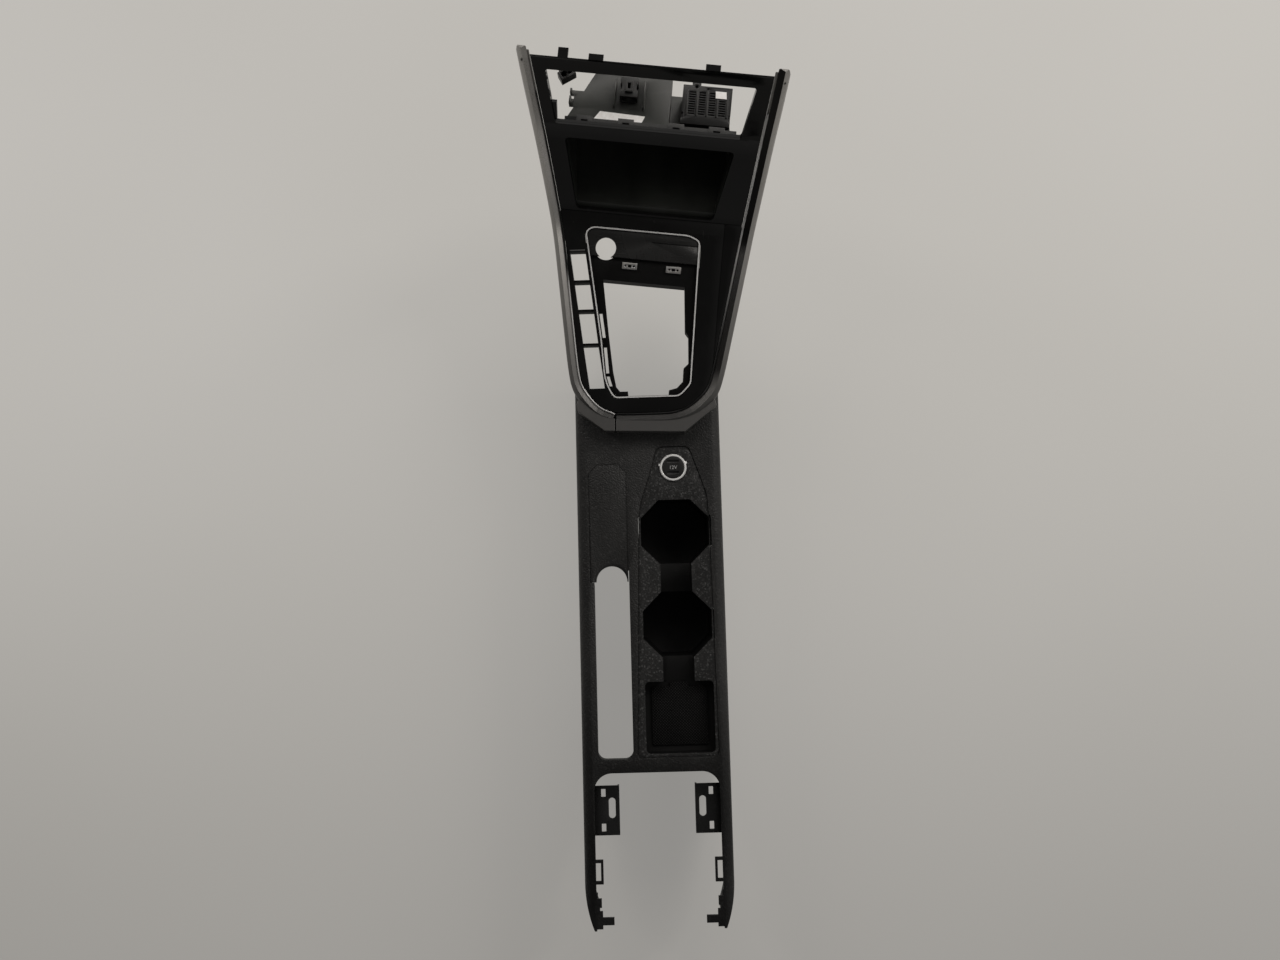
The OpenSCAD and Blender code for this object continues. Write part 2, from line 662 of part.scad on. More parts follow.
    // Room in the seat for the lugs of the selector frame.
    for (q = rear_screws) on_surface(q) translate([0, 0, frame_top - frame_t - fit])
      cylinder(h = frame_t * 4, r = lug_r + fit, $fn = round_fn);
    // Lower edge that rises to the rear and to the front.
    translate([-big / 2, 0, 0]) rotate([90, 0, 90]) linear_extrude(big) polygon([
      [-1, -2], [150, -2], [150, 0], [95, leg_lift * 0.45], [40, leg_lift * 0.9], [-1, leg_lift]]);
    translate([-big / 2, 0, 0]) rotate([90, 0, 90]) linear_extrude(big) polygon([
      [edge_y + 55, 0], [edge_y + 55, -2], [big * 2, -2], [big * 2, tunnel_h + 30],
      [edge_y + 230, tunnel_h + 6], [edge_y + 120, 60]]);
  }
}

module brake_cover_panel() {
  color([0.17, 0.17, 0.175]) {
    difference() {
      translate([0, 0, tunnel_h - cover_t]) linear_extrude(cover_t) polygon(cover_path);
      translate([-slot_x, slot_y1, tunnel_h - cover_t - 1]) cylinder(h = cover_t + 2, r = arch_r + 3.2, $fn = 64);
    }
    // Arched collar that rolls down into the slot.
    intersection() {
      translate([-slot_x, slot_y1, 0]) rotate_extrude(angle = 180, $fn = 64) polygon(concat(
        [for (a = [0 : 15 : 90]) [arch_r + 4 - 4 * cos(a), tunnel_h - 5 + 5 * sin(a)]],
        [[arch_r + 4, tunnel_h - cover_t], [arch_r + 2, tunnel_h - 6],
         [arch_r + 1.8, tunnel_h - arch_h], [arch_r, tunnel_h - arch_h]]));
      linear_extrude(big) polygon(cover_path);
    }
  }
}

plate_top = tunnel_h - cup_sink;
module cup_holder() {
  bottom = plate_top - cup_d;
  color([0.12, 0.12, 0.125]) difference() {
    union() {
      translate([0, 0, plate_top - cup_wall]) linear_extrude(cup_wall) polygon(ring_shifted(plate_path, -fit));
      for (y = [cup1_y, cup2_y])
        translate([0, 0, bottom - cup_wall]) linear_extrude(cup_d + cup_wall / 2) polygon(ring_shifted(octagon(y), cup_wall));
      translate([cup_x - neck_w / 2 - cup_wall, cup2_y, plate_top - neck_d - cup_wall])
        cube([neck_w + 2 * cup_wall, cup1_y - cup2_y, neck_d + cup_wall / 2]);
      translate([cup_x - neck_w / 2 - cup_wall, tray_y1 - 4, plate_top - tray_d - cup_wall])
        cube([neck_w + 2 * cup_wall, channel_l + 8, tray_d + cup_wall / 2]);
      translate([cup_x - tray_w / 2 - cup_wall + 1, tray_y0 + 1.6, plate_top - tray_d - cup_wall])
        cube([tray_w + 2 * cup_wall - 2, tray_l + cup_wall - 1.6, tray_d + cup_wall / 2]);
      translate([cup_x, sock_y, plate_top - 12]) cylinder(h = 11, r = socket_face_d / 2 + 2.8, $fn = round_fn);
    }
    for (y = [cup1_y, cup2_y])
      translate([0, 0, bottom]) linear_extrude(cup_d + 1) polygon(octagon(y));
    translate([cup_x - neck_w / 2, cup2_y, plate_top - neck_d]) cube([neck_w, cup1_y - cup2_y, neck_d + 1]);
    translate([cup_x - neck_w / 2, tray_y1 - 5, plate_top - tray_d + 2])
      cube([neck_w, channel_l + 8, tray_d + 1]);
    translate([cup_x - neck_w / 2 + 4, tray_y1 - 5, plate_top - tray_d])
      cube([neck_w - 8, channel_l + 8, tray_d + 1]);
    translate([0, 0, plate_top - tray_d]) linear_extrude(tray_d + 1) tray_outline(0);
    translate([cup_x, sock_y, plate_top - 13]) cylinder(h = 20, r = socket_face_d / 2 + 0.5 + fit, $fn = round_fn);
  }
}
module tray_outline(inset) {
  w = tray_w / 2 - 1 - inset;
  r = max(tray_r - inset, 2);
  y0 = tray_y0 + 3.6 + inset;
  y1 = tray_y1 - inset;
  translate([cup_x - w + r, y0]) square([2 * (w - r), y1 - y0]);
  translate([cup_x - w, y0 + r]) square([2 * w, y1 - y0 - 2 * r]);
  for (x = [cup_x - w + r, cup_x + w - r]) for (y = [y0 + r, y1 - r]) translate([x, y]) circle(r, $fn = round_fn);
}

module tray_mat() {
  z = plate_top - tray_d + fit;
  color([0.08, 0.08, 0.08]) {
    translate([0, 0, z]) linear_extrude(mat_t) tray_outline(mat_gap);
    translate([cup_x - 10, tray_y1 - 30, z]) cube([20, 30 - mat_gap + 5, mat_t]);
  }
}

module socket_barrel() {
  color([0.1, 0.1, 0.1]) translate([cup_x, sock_y, 0]) difference() {
    union() {
      translate([0, 0, plate_top - socket_depth]) cylinder(h = socket_depth - 3, r = socket_bore / 2 + 1.6, $fn = round_fn);
      translate([0, 0, plate_top - 4]) cylinder(h = 2.6, r = socket_face_d / 2 + 0.5, $fn = round_fn);
    }
    translate([0, 0, plate_top - socket_depth + 2]) cylinder(h = socket_depth, r = socket_bore / 2, $fn = round_fn);
  }
}

module socket_ring() {
  color([0.8, 0.8, 0.82]) translate([cup_x, sock_y, plate_top + fit]) {
    rotate_extrude($fn = 96) polygon([
      [socket_face_d / 2 - fit, -1.1], [socket_face_d / 2 + 0.5, -1.1], [socket_face_d / 2 + 0.5, 0],
      [socket_ring_d / 2, 0], [socket_ring_d / 2, socket_ring_h * 0.45],
      [socket_ring_d / 2 - 0.7, socket_ring_h], [socket_face_d / 2 + 0.2, socket_ring_h],
      [socket_face_d / 2 - fit, socket_ring_h * 0.7]]);
    for (a = [20, 168]) rotate([0, 0, a]) translate([socket_ring_d / 2 - 0.6, -1.2, 0]) cube([2, 2.4, 1]);
  }
}

module socket_cap() {
  face_r = socket_face_d / 2 - 2 * fit;
  z = plate_top - 1 + fit;
  color([0.07, 0.07, 0.07]) translate([cup_x, sock_y, 0]) difference() {
    union() {
      translate([0, 0, z]) cylinder(h = 2.6, r = face_r, $fn = 64);
      translate([0, 0, z - 20]) cylinder(h = 21, r = socket_bore / 2 - fit, $fn = round_fn);
    }
    // Finger recess across the cap, with the grip bar left standing.
    for (s = [-1, 1]) translate([0, s * 6.2, z + 3.4]) rotate([0, 90, 0]) cylinder(h = 13, r = 2.2, center = true, $fn = 32);
    translate([0, 0, z - 21]) cylinder(h = 18, r = socket_bore / 2 - 2.4, $fn = round_fn);
  }
}

module gear_surround() {
  color([0.03, 0.03, 0.035]) difference() {
    intersection() {
      linear_extrude(big) polygon(edge_path);
      layer(0, -skin);
      up_to_front(pb[0] + 5.5);
    }
    linear_extrude(big) polygon(ring_shifted(ring_path, fit));
    linear_extrude(big) polygon([
      [sw_left(sw_y0), sw_y0], [sw_right(sw_y0), sw_y0], [sw_right(sw_y1), sw_y1], [sw_left(sw_y1), sw_y1]]);
    // Fine crease along the wide right side of the panel.
    intersection() {
      linear_extrude(big) polygon(concat(shifted(crease_line, crease_w / 2), reversed(shifted(crease_line, -crease_w / 2))));
      layer(1, -crease_w / 2);
    }
  }
}
// Crease line in plan, to the right of the ring.
crease_w = 1;
crease_line = [
  [ring_back + 22.4, ring_y0 + 8], [ring_back + 31.4, ring_y0 + 101], [ring_back + 39.6, ring_y0 + 176],
  [ring_back + 41, ring_y0 + 190]
];

module gear_ring() {
  color([0.85, 0.85, 0.87]) swept_ring(ring_path,
    [[0, 0.1], [-0.5, 0.9], [-ring_w + 0.5, 0.9], [-ring_w, 0.1]],
    [[0, -skin], [-0.5, -skin], [-ring_w + 0.5, -skin], [-ring_w, -skin]]);
}

module selector_frame() {
  color([0.06, 0.06, 0.065]) difference() {
    union() {
      intersection() {
        union() {
          linear_extrude(big) polygon(ring_path);
          // Lap below the gloss panel, to the right and at the rear.
          intersection() {
            linear_extrude(big) polygon(ring_shifted(ring_path, frame_lap));
            translate([-10, ring_y0 - 10, 0]) cube([big, ring_l - 30, big]);
          }
          for (q = rear_screws) on_surface(q) translate([0, 0, -3 * frame_t]) {
            cylinder(h = 4 * frame_t, r = lug_r, $fn = round_fn);
            translate([-lug_r, 0, 0]) cube([2 * lug_r, lug_r, 4 * frame_t]);
          }
          linear_extrude(big) polygon([
            [sw_left(sw_y0 - 4) - 2.6, sw_y0 - 4], [ring_left(sw_y0) + 3, sw_y0 - 4],
            [ring_left(sw_y1) + 3, sw_y1 + 8], [sw_left(sw_y1) - 3, sw_y1 + 8]]);
        }
        layer(frame_top, frame_top - frame_t);
      }
      // Walls round the gear opening and the switch slots.
      intersection() {
        union() {
          linear_extrude(big) difference() {
            polygon(ring_shifted(gear_path, 2));
            polygon(gear_path);
          }
          linear_extrude(big) polygon([
            [sw_left(sw_y0) - 1.6, sw_y0 - 1.6], [sw_right(sw_y0) + 1.6, sw_y0 - 1.6],
            [sw_right(sw_y1) + 1.6, sw_y1 + 1.6], [sw_left(sw_y1) - 1.6, sw_y1 + 1.6]]);
        }
        layer(frame_top, frame_top - frame_d);
      }
      // Guide ribs of the button panel.
      intersection() {
        for (x = [-22, 12, 36]) translate([x, ring_front_y(x) - 20, 0]) cube([2, 12, big]);
        layer(frame_top - 1, frame_top - frame_d);
      }
    }
    linear_extrude(big) polygon(gear_path);
    linear_extrude(big) for (i = [0 : len(sw_bars) - 2]) {
      a = sw_bars[i] + (i == 0 ? 0 : switch_bar);
      b = sw_bars[i + 1];
      polygon([[sw_left(a), a], [sw_right(a), a], [sw_right(b), b], [sw_left(b), b]]);
    }
    // Slots in the left strip of the frame.
    linear_extrude(big) for (s = [[66, 92], [28, 56], [14, 25]])
      polygon([for (y = [s[0], s[1]]) [ring_left(ring_y0 + y) + 3.2, ring_y0 + y],
               for (y = [s[1], s[0]]) [ring_left(ring_y0 + y) + 6.4, ring_y0 + y]]);
    for (q = frame_screws) on_surface(q) {
      translate([0, 0, -30]) cylinder(h = 40, r = screw_d / 2 + fit, $fn = round_fn);
      translate([0, 0, frame_top - screw_head_h - 0.2]) cylinder(h = 8, r = screw_head_r + fit, $fn = round_fn);
    }
    // Room for the start button.
    start_place() cylinder(h = 60, r = start_d / 2 + 1.5, center = true, $fn = round_fn);
  }
}
start_y = ring_front_y(-start_x) - 21.5;
module start_place() {
  v = ahead([-start_x, start_y]);
  translate([-start_x, start_y, height(v)]) rotate([0, 0, -cant]) rotate([gear_slope, 0, 0]) children();
}

module button_panel() {
  inner = ring_shifted(ring_path, -ring_w - fit);
  color([0.03, 0.03, 0.035]) difference() {
    intersection() {
      linear_extrude(big) polygon(inner);
      layer(-0.2, -skin);
      stack() translate([-big / 2, ahead([0, ring_front_y(0)]) - button_l - 1, 0]) cube([big, big, big]);
    }
    start_place() cylinder(h = 40, r = start_d / 2, center = true, $fn = 64);
    // Shallow groove with a round end on each side.
    intersection() {
      stack() translate([0, ahead([16, ring_front_y(16)]) - 11.5, 0]) {
        translate([11, -0.6, 0]) cube([60, 1.2, big]);
        for (w = [11, 71]) translate([w, 0, 0]) cylinder(h = big, r = 1.3, $fn = 24);
      }
      layer(1, -1.2);
    }
  }
}

// Two spring clips on the front bar of the selector frame.
module selector_clips() {
  color([0.75, 0.75, 0.77]) for (x = [-15, 32]) {
    v = ahead([x, ring_front_y(x) - button_l - 9]);
    stack() translate([(x - stack_x) * cos(cant) - (ring_front_y(x) - button_l - 9 - stack_y) * sin(cant), v, height(v)])
      rotate([gear_slope, 0, 0]) translate([0, 0, frame_top + fit]) {
        difference() {
          translate([-8, -3.5, 0]) cube([16, 7, 1.2]);
          for (s = [-1, 1]) translate([s * 4.5, 0, -1]) cylinder(h = 4, r = 1.2, $fn = 24);
          translate([-2, -1.5, -1]) cube([4, 3, 4]);
        }
        for (s = [-1, 1]) translate([s * 7 - 1, -3.5, 1]) cube([2, 7, 1.4]);
      }
  }
}

trim_out = [
  [0, -skin], [strip_w + 2 * fit, -skin], [strip_w + 2 * fit + 0.1, -0.5], [ridge_a, ridge_h],
  [trim_w - 1.4, -1.2], [trim_w, -4], [trim_w, -skirt_d]
];
trim_in = [
  [0, -skin - 1.5], [strip_w + 2 * fit, -skin - 1.5], [strip_w + 3, -skin - 1.5], [ridge_a, ridge_h - trim_t],
  [trim_w - 1.4 - trim_t * 0.8, -1.2 - trim_t], [trim_w - trim_t, -5], [trim_w - trim_t, -skirt_d]
];
function moved(pts, a) = [for (p = pts) [p[0] + a, p[1]]];
function left_part(path) = [for (p = path) if (!(p[0] > -seam_x - 1 && p[1] < edge_y + 60)
  && !(p[0] > 0)) p];
function right_part(path) = [for (p = path) if (p[0] > 0 || (p[0] > -seam_x + 1 && p[1] < edge_y + 60)) p];
seam_y = edge_y + 1;
left_run = concat(left_part(edge_path), [[-seam_x - fit / 2, seam_y]]);
right_run = concat([[-seam_x + fit / 2, seam_y]], right_part(edge_path));

module trimmed_top() {
  intersection() {
    children();
    stack() translate([-big / 2, -big / 2, 0])
      cube([big, big / 2 + pd[0] + trim_over * cos(climate_slope), pd[1] + trim_over * sin(climate_slope)]);
  }
}
module left_trim() {
  color([0.42, 0.42, 0.43]) difference() {
    trimmed_top() swept(left_run, moved(trim_out, fit), moved(trim_in, fit), tunnel_h + fit);
    top_hole(-1);
  }
}
module right_trim() {
  color([0.42, 0.42, 0.43]) difference() {
    trimmed_top() swept(right_run, moved(trim_out, fit), moved(trim_in, fit), tunnel_h + fit);
    top_hole(1);
  }
}
// Pin hole and slit in the top end of each trim.
module top_hole(s) {
  x = s < 0 ? -left_d - trim_w * 0.65 : right_d + trim_w * 0.7;
  y = turned(0, pd[0])[1] - (x - stack_x) * tan(cant) + 1;
  translate([x, y, pd[1] - 6]) cylinder(h = 40, r = 1.4, $fn = 24);
}

strip_out = [[0, 0.1], [strip_w / 2, 1], [strip_w, 0.1]];
strip_in = [[0, -skin + fit], [strip_w / 2, -skin + fit], [strip_w, -skin + fit]];
module left_strip() {
  color([0.85, 0.85, 0.87]) clipped_top() swept(left_run, moved(strip_out, fit + fit), moved(strip_in, fit + fit));
}
module right_strip() {
  color([0.85, 0.85, 0.87]) clipped_top() swept(right_run, moved(strip_out, fit + fit), moved(strip_in, fit + fit));
}
module clipped_top() {
  intersection() {
    children();
    stack() translate([-big / 2, -big / 2, 0]) cube([big, big, pd[1]]);
  }
}

module climate_frame() {
  flange_z = pd[1];
  color([0.03, 0.03, 0.035]) {
    difference() {
      union() {
        intersection() {
          linear_extrude(big) polygon(edge_path);
          layer(0, -skin);
          stack() translate([-big / 2, pb[0] + 5.5 + fit, 0]) cube([big, big, flange_z]);
        }
        // Flange that runs forward from the top edge.
        intersection() {
          linear_extrude(big) polygon(edge_path);
          stack() translate([-big / 2, pd[0] - 1, flange_z - skin]) cube([big, top_flange + 1, skin]);
        }
        // Collars behind the two openings.
        on_mouth() translate([0, 0, -skin - collar_d]) linear_extrude(collar_d + eps) polygon(trapezoid(mouth_low, mouth_top, mouth_s, mouth_h, 1.6));
        on_climate() translate([0, 0, -skin - collar_d]) linear_extrude(collar_d + eps)
          polygon(trapezoid(climate_low, climate_top, climate_s, climate_h, 1.8));
        // Two locating tabs on the top edge.
        stack() for (w = [-55, 55]) translate([w - 7, pd[0] - 1, flange_z - 1]) cube([14, 6, 3.5]);
      }
      on_mouth() translate([0, 0, -30]) linear_extrude(60)
        polygon(closed_bends(trapezoid(mouth_low, mouth_top, mouth_s, mouth_h, 0), 5, 4));
      on_climate() translate([0, 0, -30]) linear_extrude(40)
        polygon(closed_bends(trapezoid(climate_low, climate_top, climate_s, climate_h, 0), 3.5, 4));
    }
    // Stop lug on the left edge of the climate opening.
    on_climate() translate([-climate_low - climate_lug + 2, climate_s + 2, -skin - collar_d])
      cube([climate_lug, climate_h / 3, skin + 1]);
  }
}

// Storage compartment: tall part behind the left of the mouth, low part behind the right.
rim_v = [-sin(mouth_slope), cos(mouth_slope)];
slope_v = [cos(mouth_slope), sin(mouth_slope)];
rim_low = pb + slope_v * mouth_s - rim_v * (skin + collar_d + fit);
rim_top = pb + slope_v * (mouth_s + mouth_h) - rim_v * (skin + collar_d + fit);
box_v1 = gear_l + box_l;
floor_z = tunnel_h + box_floor;
function box_side(top_far, t, open) = [
  rim_low + rim_v * open - slope_v * (open > 0 ? -t : 0), [rim_low[0] + 14, floor_z + t], [box_v1 - t, floor_z + t],
  [box_v1 - t, top_far - t], [rim_top[0] + 13, top_far - t], [rim_top[0] + 6, rim_top[1] - t],
  rim_top + rim_v * open - slope_v * t
];
box_half = mouth_top + 8.5;
tall_plan = [
  [-box_half, pb[0] - 20], [-box_half, rim_top[0] + 4], [-box_half + 11, rim_top[0] + 24],
  [-box_half + 35, box_v1], [17, box_v1],
  [17, rim_top[0] + 16], [box_half, rim_top[0] + 16], [box_half, pb[0] - 20]
];
low_plan = [[10, pb[0] - 20], [10, box_v1 - 8], [76, box_v1 - 8], [84, rim_top[0] + 10], [84, pb[0] - 20]];
tall_top = rim_top[1];
low_top = tall_top - 26;
module box_part(t, open) {
  intersection() {
    union() {
      intersection() {
        side_view(-box_half, box_half) polygon(box_side(tall_top, t, open));
        stack() linear_extrude(big) polygon(ring_shifted(tall_plan, t));
      }
      intersection() {
        side_view(-box_half, box_half) polygon(box_side(low_top, t, open));
        stack() linear_extrude(big) polygon(ring_shifted(low_plan, t));
      }
    }
    on_mouth() translate([0, 0, -250]) linear_extrude(300)
      polygon(let (k = (mouth_top - mouth_low) / mouth_h, g = box_t - t) [
        [-mouth_low - g + k * 60, mouth_s - 60], [mouth_low + g - k * 60, mouth_s - 60],
        [mouth_top + g + k * 160, mouth_s + mouth_h + 160], [-mouth_top - g - k * 160, mouth_s + mouth_h + 160]]);
  }
}
// Upright flange on the front of the compartment's top, which carries the four clips.
flange_v = rim_top[0] + 4;
flange_z = tall_top + 9;
flange_l = 11;
clip_w = [-68, -26, 25, 66];
module storage_compartment() {
  color([0.1, 0.1, 0.105]) difference() {
    union() {
      box_part(0, 0);
      // Rim that bears on the collar of the mouth.
      on_mouth() translate([0, 0, -skin - collar_d - fit - 2.5]) linear_extrude(2.5)
        polygon(trapezoid(mouth_low, mouth_top, mouth_s, mouth_h, 3.5));
      side_view(-box_half + 7, box_half - 9) polygon([
        [flange_v, tall_top - 2], [flange_v, flange_z], [flange_v + flange_l, flange_z],
        [flange_v + flange_l, flange_z - box_t], [flange_v + box_t, flange_z - box_t], [flange_v + box_t, tall_top - 2]]);
      // Two thin ribs and the arm of the side bracket.
      stack() for (w = [-41, -11]) translate([w, flange_v + 28, tall_top - 1]) cube([1.6, 28, 9]);
      stack() {
        translate([-86, flange_v + 26, tall_top - box_t]) cube([14, 17, box_t]);
        translate([-86, flange_v + 26, tall_top - box_t]) cube([2, 8, 9]);
        translate([-86, flange_v + 38, tall_top - box_t]) cube([2, 5, 7]);
      }
    }
    stack() translate([-87, flange_v + 34, tall_top - 8]) cube([5, 3.5, 20]);
    box_part(box_t, 12);
  }
}

module compartment_clips() {
  gap = fit * 2 + box_t;
  color([0.35, 0.35, 0.36]) stack() for (w = clip_w) translate([w - 8, flange_v + 4, flange_z - box_t - fit - 1.2]) {
    difference() {
      cube([16, flange_l - 4 + fit + 1.4, gap + 2.4]);
      translate([-1, -1, 1.2]) cube([18, flange_l - 4 + fit + 1, gap]);
      translate([4.5, -1, gap]) cube([7, 5.5, 4]);
    }
  }
}

module_x = 28.5;
module_v = flange_v + flange_l + 4;
module_z = low_top + fit;
module module_housing() {
  color([0.14, 0.14, 0.145]) stack() translate([module_x, module_v, module_z]) difference() {
    union() {
      cube([module_w, module_l, module_h - 2]);
      // Ear with the fastening hole.
      translate([9, module_l - 1, module_h - 12]) cube([9, 5, 10]);
    }
    translate([1.8, 1.8, 1.8]) cube([module_w - 3.6, module_l - 3.6, module_h]);
    // Plug openings in the rear wall.
    for (x = [6, 28]) translate([x, module_l - 3, 8]) cube([16, 6, 9]);
  }
}

module module_cover() {
  pitch_x = (module_w - 9) / vent_cols;
  color([0.16, 0.16, 0.165]) stack() translate([module_x, module_v, module_z + module_h - 2 + fit]) difference() {
    union() {
      cube([module_w, module_l, 2]);
      translate([13.5, module_l - 1.5, 0]) cylinder(h = 2, r = 4.5, $fn = round_fn);
      translate([2.2, 2.2, -3]) cube([module_w - 4.4, 1.6, 3.5]);
      // Raised strips between the columns.
      for (i = [0 : vent_cols]) translate([4 + i * pitch_x, 9, 1]) cube([1.6, 27, 1.8]);
    }
    for (i = [0 : vent_cols - 1]) for (k = [0 : vent_rows - 1])
      translate([4 + i * pitch_x + 2.6, 10.5 + k * 2.5, -1]) cube([pitch_x - 3.6, 1.3, 5]);
    translate([13.5, module_l - 1.5, -1]) cylinder(h = 5, r = 1.7, $fn = 24);
    translate([25, module_l - 3, -1]) cylinder(h = 5, r = 1, $fn = 24);
    for (x = [-1, module_w - 2]) translate([x, 6, -1]) cube([3, 6, 5]);
  }
}

// Plug socket that stands on the compartment between the two ribs.
module connector_tower() {
  color([0.11, 0.11, 0.11]) stack() translate([-35, flange_v + 36, tall_top + fit]) difference() {
    union() {
      cube([18, 20, 11]);
      translate([2, -1.5, 0]) cube([14, 4, 8]);
      translate([5, 4, 10]) cube([8, 12, 4]);
    }
    translate([1.8, -2, 2]) cube([14.4, 15, 7]);
    for (x = [-1, 16.5]) translate([x, 7, 3]) cube([2.5, 6, 9]);
    translate([7.5, 7, 9]) cube([3, 6, 8]);
  }
}

// Cable clip that hangs from the top flange at the left.
clip_arm = 37;
module wire_clip() {
  x = -88;
  y = pd[0] + top_flange - 5;
  z = pd[1] - skin - fit;
  color([0.09, 0.09, 0.09]) stack() {
    translate([x - 3, y - 3, z - 1.6]) cube([9, 7, 1.6]);
    translate([x, y, z - clip_arm]) cube([3, 2, clip_arm]);
    translate([x + 1.5, y + 1, z - clip_arm - 8]) rotate([0, 0, 35]) difference() {
      union() {
        translate([-8, -5, 0]) cube([16, 9, 10]);
        translate([-5, 3, 2]) cube([4, 4, 6]);
        translate([1, 3, 2]) cube([4, 4, 6]);
      }
      for (k = [-5.5, 0.8]) translate([k, -3, 3]) cube([4.6, 5.5, 9]);
    }
  }
}

bracket_z = tunnel_h - bracket_drop;
bracket_in = gap_x - bracket_reach;
module bracket(s) {
  outer = half_w - wall - fit;
  slot_c = bracket_in + 8;
  color([0.05, 0.05, 0.055]) scale_x(s) difference() {
    union() {
      translate([bracket_in, bracket_y, bracket_z - steel_t]) cube([outer - bracket_in, bracket_l, steel_t]);
      translate([outer - steel_t, bracket_y, bracket_z - 22]) cube([steel_t, bracket_l, 22]);
      translate([bracket_in, bracket_y, bracket_z - 6]) cube([steel_t, bracket_l, 6]);
    }
    // Long bolt slot and two punched windows.
    for (y = [-1, 1]) translate([slot_c, bracket_slot_y + y * (bolt_slot_l - bolt_slot_w) / 2, bracket_z - 8])
      cylinder(h = 12, r = bolt_slot_w / 2, $fn = round_fn);
    translate([slot_c - bolt_slot_w / 2, bracket_slot_y - (bolt_slot_l - bolt_slot_w) / 2, bracket_z - 8])
      cube([bolt_slot_w, bolt_slot_l - bolt_slot_w, 12]);
    for (y = [bracket_y + 4, bracket_y + bracket_l - 12]) translate([slot_c + 7, y, bracket_z - 8]) cube([4.8, 8.5, 12]);
    for (y = bracket_screw_y) translate([outer - 10, y, bracket_screw_z])
      rotate([0, 90, 0]) cylinder(h = 20, r = screw_d / 2 + fit, $fn = round_fn);
  }
}
bracket_slot_y = bracket_y + bracket_l / 2 + 2.5;
module left_bracket() { bracket(-1); }
module right_bracket() { bracket(1); }

module bracket_screws() {
  x = half_w - wall - fit - steel_t;
  color([0.6, 0.6, 0.62]) for (s = [-1, 1]) for (y = bracket_screw_y) scale_x(s)
    translate([x, y, bracket_screw_z]) rotate([0, 90, 0]) {
      cylinder(h = steel_t + fit + screw_bite, r = screw_d / 2, $fn = round_fn);
      translate([0, 0, -2.2]) cylinder(h = 2.1, r = screw_d / 2 + 2, $fn = round_fn);
      translate([0, 0, -0.15]) cylinder(h = 0.2, r = screw_d / 2, $fn = round_fn);
    }
}

module selector_screws() {
  color([0.6, 0.6, 0.62]) for (q = frame_screws) on_surface(q) {
    translate([0, 0, frame_top - screw_head_h]) cylinder(h = screw_head_h, r = screw_head_r, $fn = round_fn);
    translate([0, 0, frame_top - frame_t - boss_l + 2])
      cylinder(h = frame_t + boss_l - 2.4, r = screw_d / 2, $fn = round_fn);
  }
}

// The origin lies below the middle of the whole part, on the plane that it stands on.
module placed() {
  translate([(left_d - right_d) / 2 - trim_w * trim_turn, -turned(-60, box_v1)[1] / 2, 0]) children();
}

placed() console_body();
placed() brake_cover_panel();
placed() cup_holder();
placed() tray_mat();
placed() socket_barrel();
placed() socket_ring();
placed() socket_cap();
placed() gear_surround();
placed() gear_ring();
placed() selector_frame();
placed() button_panel();
placed() selector_clips();
placed() left_trim();
placed() right_trim();
placed() left_strip();
placed() right_strip();
placed() climate_frame();
placed() storage_compartment();
placed() compartment_clips();
placed() module_housing();
placed() module_cover();
placed() connector_tower();
placed() wire_clip();
placed() left_bracket();
placed() right_bracket();
placed() bracket_screws();
placed() selector_screws();
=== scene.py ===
"""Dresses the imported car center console: camera, materials, small pieces, stage, room and lamps.

Everything is in metres in the part's own frame: +Y is the front of the car, +Z is up.
"""
import json
import math

import bpy
from mathutils import Matrix, Vector


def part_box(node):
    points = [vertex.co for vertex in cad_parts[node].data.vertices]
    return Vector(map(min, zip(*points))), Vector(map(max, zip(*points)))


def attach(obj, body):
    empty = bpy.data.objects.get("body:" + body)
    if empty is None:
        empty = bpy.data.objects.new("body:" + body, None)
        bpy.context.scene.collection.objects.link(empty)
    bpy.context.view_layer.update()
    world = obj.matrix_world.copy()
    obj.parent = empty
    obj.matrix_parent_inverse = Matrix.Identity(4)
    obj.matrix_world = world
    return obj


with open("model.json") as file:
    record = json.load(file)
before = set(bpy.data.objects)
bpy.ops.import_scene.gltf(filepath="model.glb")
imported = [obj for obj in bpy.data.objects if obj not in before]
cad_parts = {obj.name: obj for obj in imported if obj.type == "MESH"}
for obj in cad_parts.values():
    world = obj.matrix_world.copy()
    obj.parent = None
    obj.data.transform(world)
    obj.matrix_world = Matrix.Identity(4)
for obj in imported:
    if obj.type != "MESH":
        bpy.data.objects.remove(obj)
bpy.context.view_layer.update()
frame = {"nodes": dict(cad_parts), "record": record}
NODES = frame["nodes"]
scene = bpy.context.scene
scene.view_settings.view_transform = "Standard"

# Camera, fitted to the photograph
PHOTO_SIZE = (1280.0, 960.0)
FOCAL_PIXELS = 963.0
SENSOR_WIDTH = 36.0
CAMERA_AIM = Vector((-0.0233, 0.0324, 0.140))
CAMERA_DISTANCE = 1.060
CAMERA_TILT = math.radians(5.0)
CAMERA_ROLL = math.radians(-1.5)
CAMERA_TURN = Matrix.Rotation(CAMERA_TILT, 3, "X") @ Matrix.Rotation(CAMERA_ROLL, 3, "Z")
CAMERA_PLACE = CAMERA_AIM + CAMERA_TURN.col[2] * CAMERA_DISTANCE


def make_camera():
    """A camera above the console, a little to the rear, rolled as the photograph is."""
    data = bpy.data.cameras.new("camera")
    data.sensor_width = SENSOR_WIDTH
    data.lens = FOCAL_PIXELS / PHOTO_SIZE[0] * SENSOR_WIDTH
    data.clip_start = 0.01
    data.clip_end = 50.0
    camera = bpy.data.objects.new("camera", data)
    scene.collection.objects.link(camera)
    camera.matrix_world = Matrix.Translation(CAMERA_PLACE) @ CAMERA_TURN.to_4x4()
    scene.camera = camera


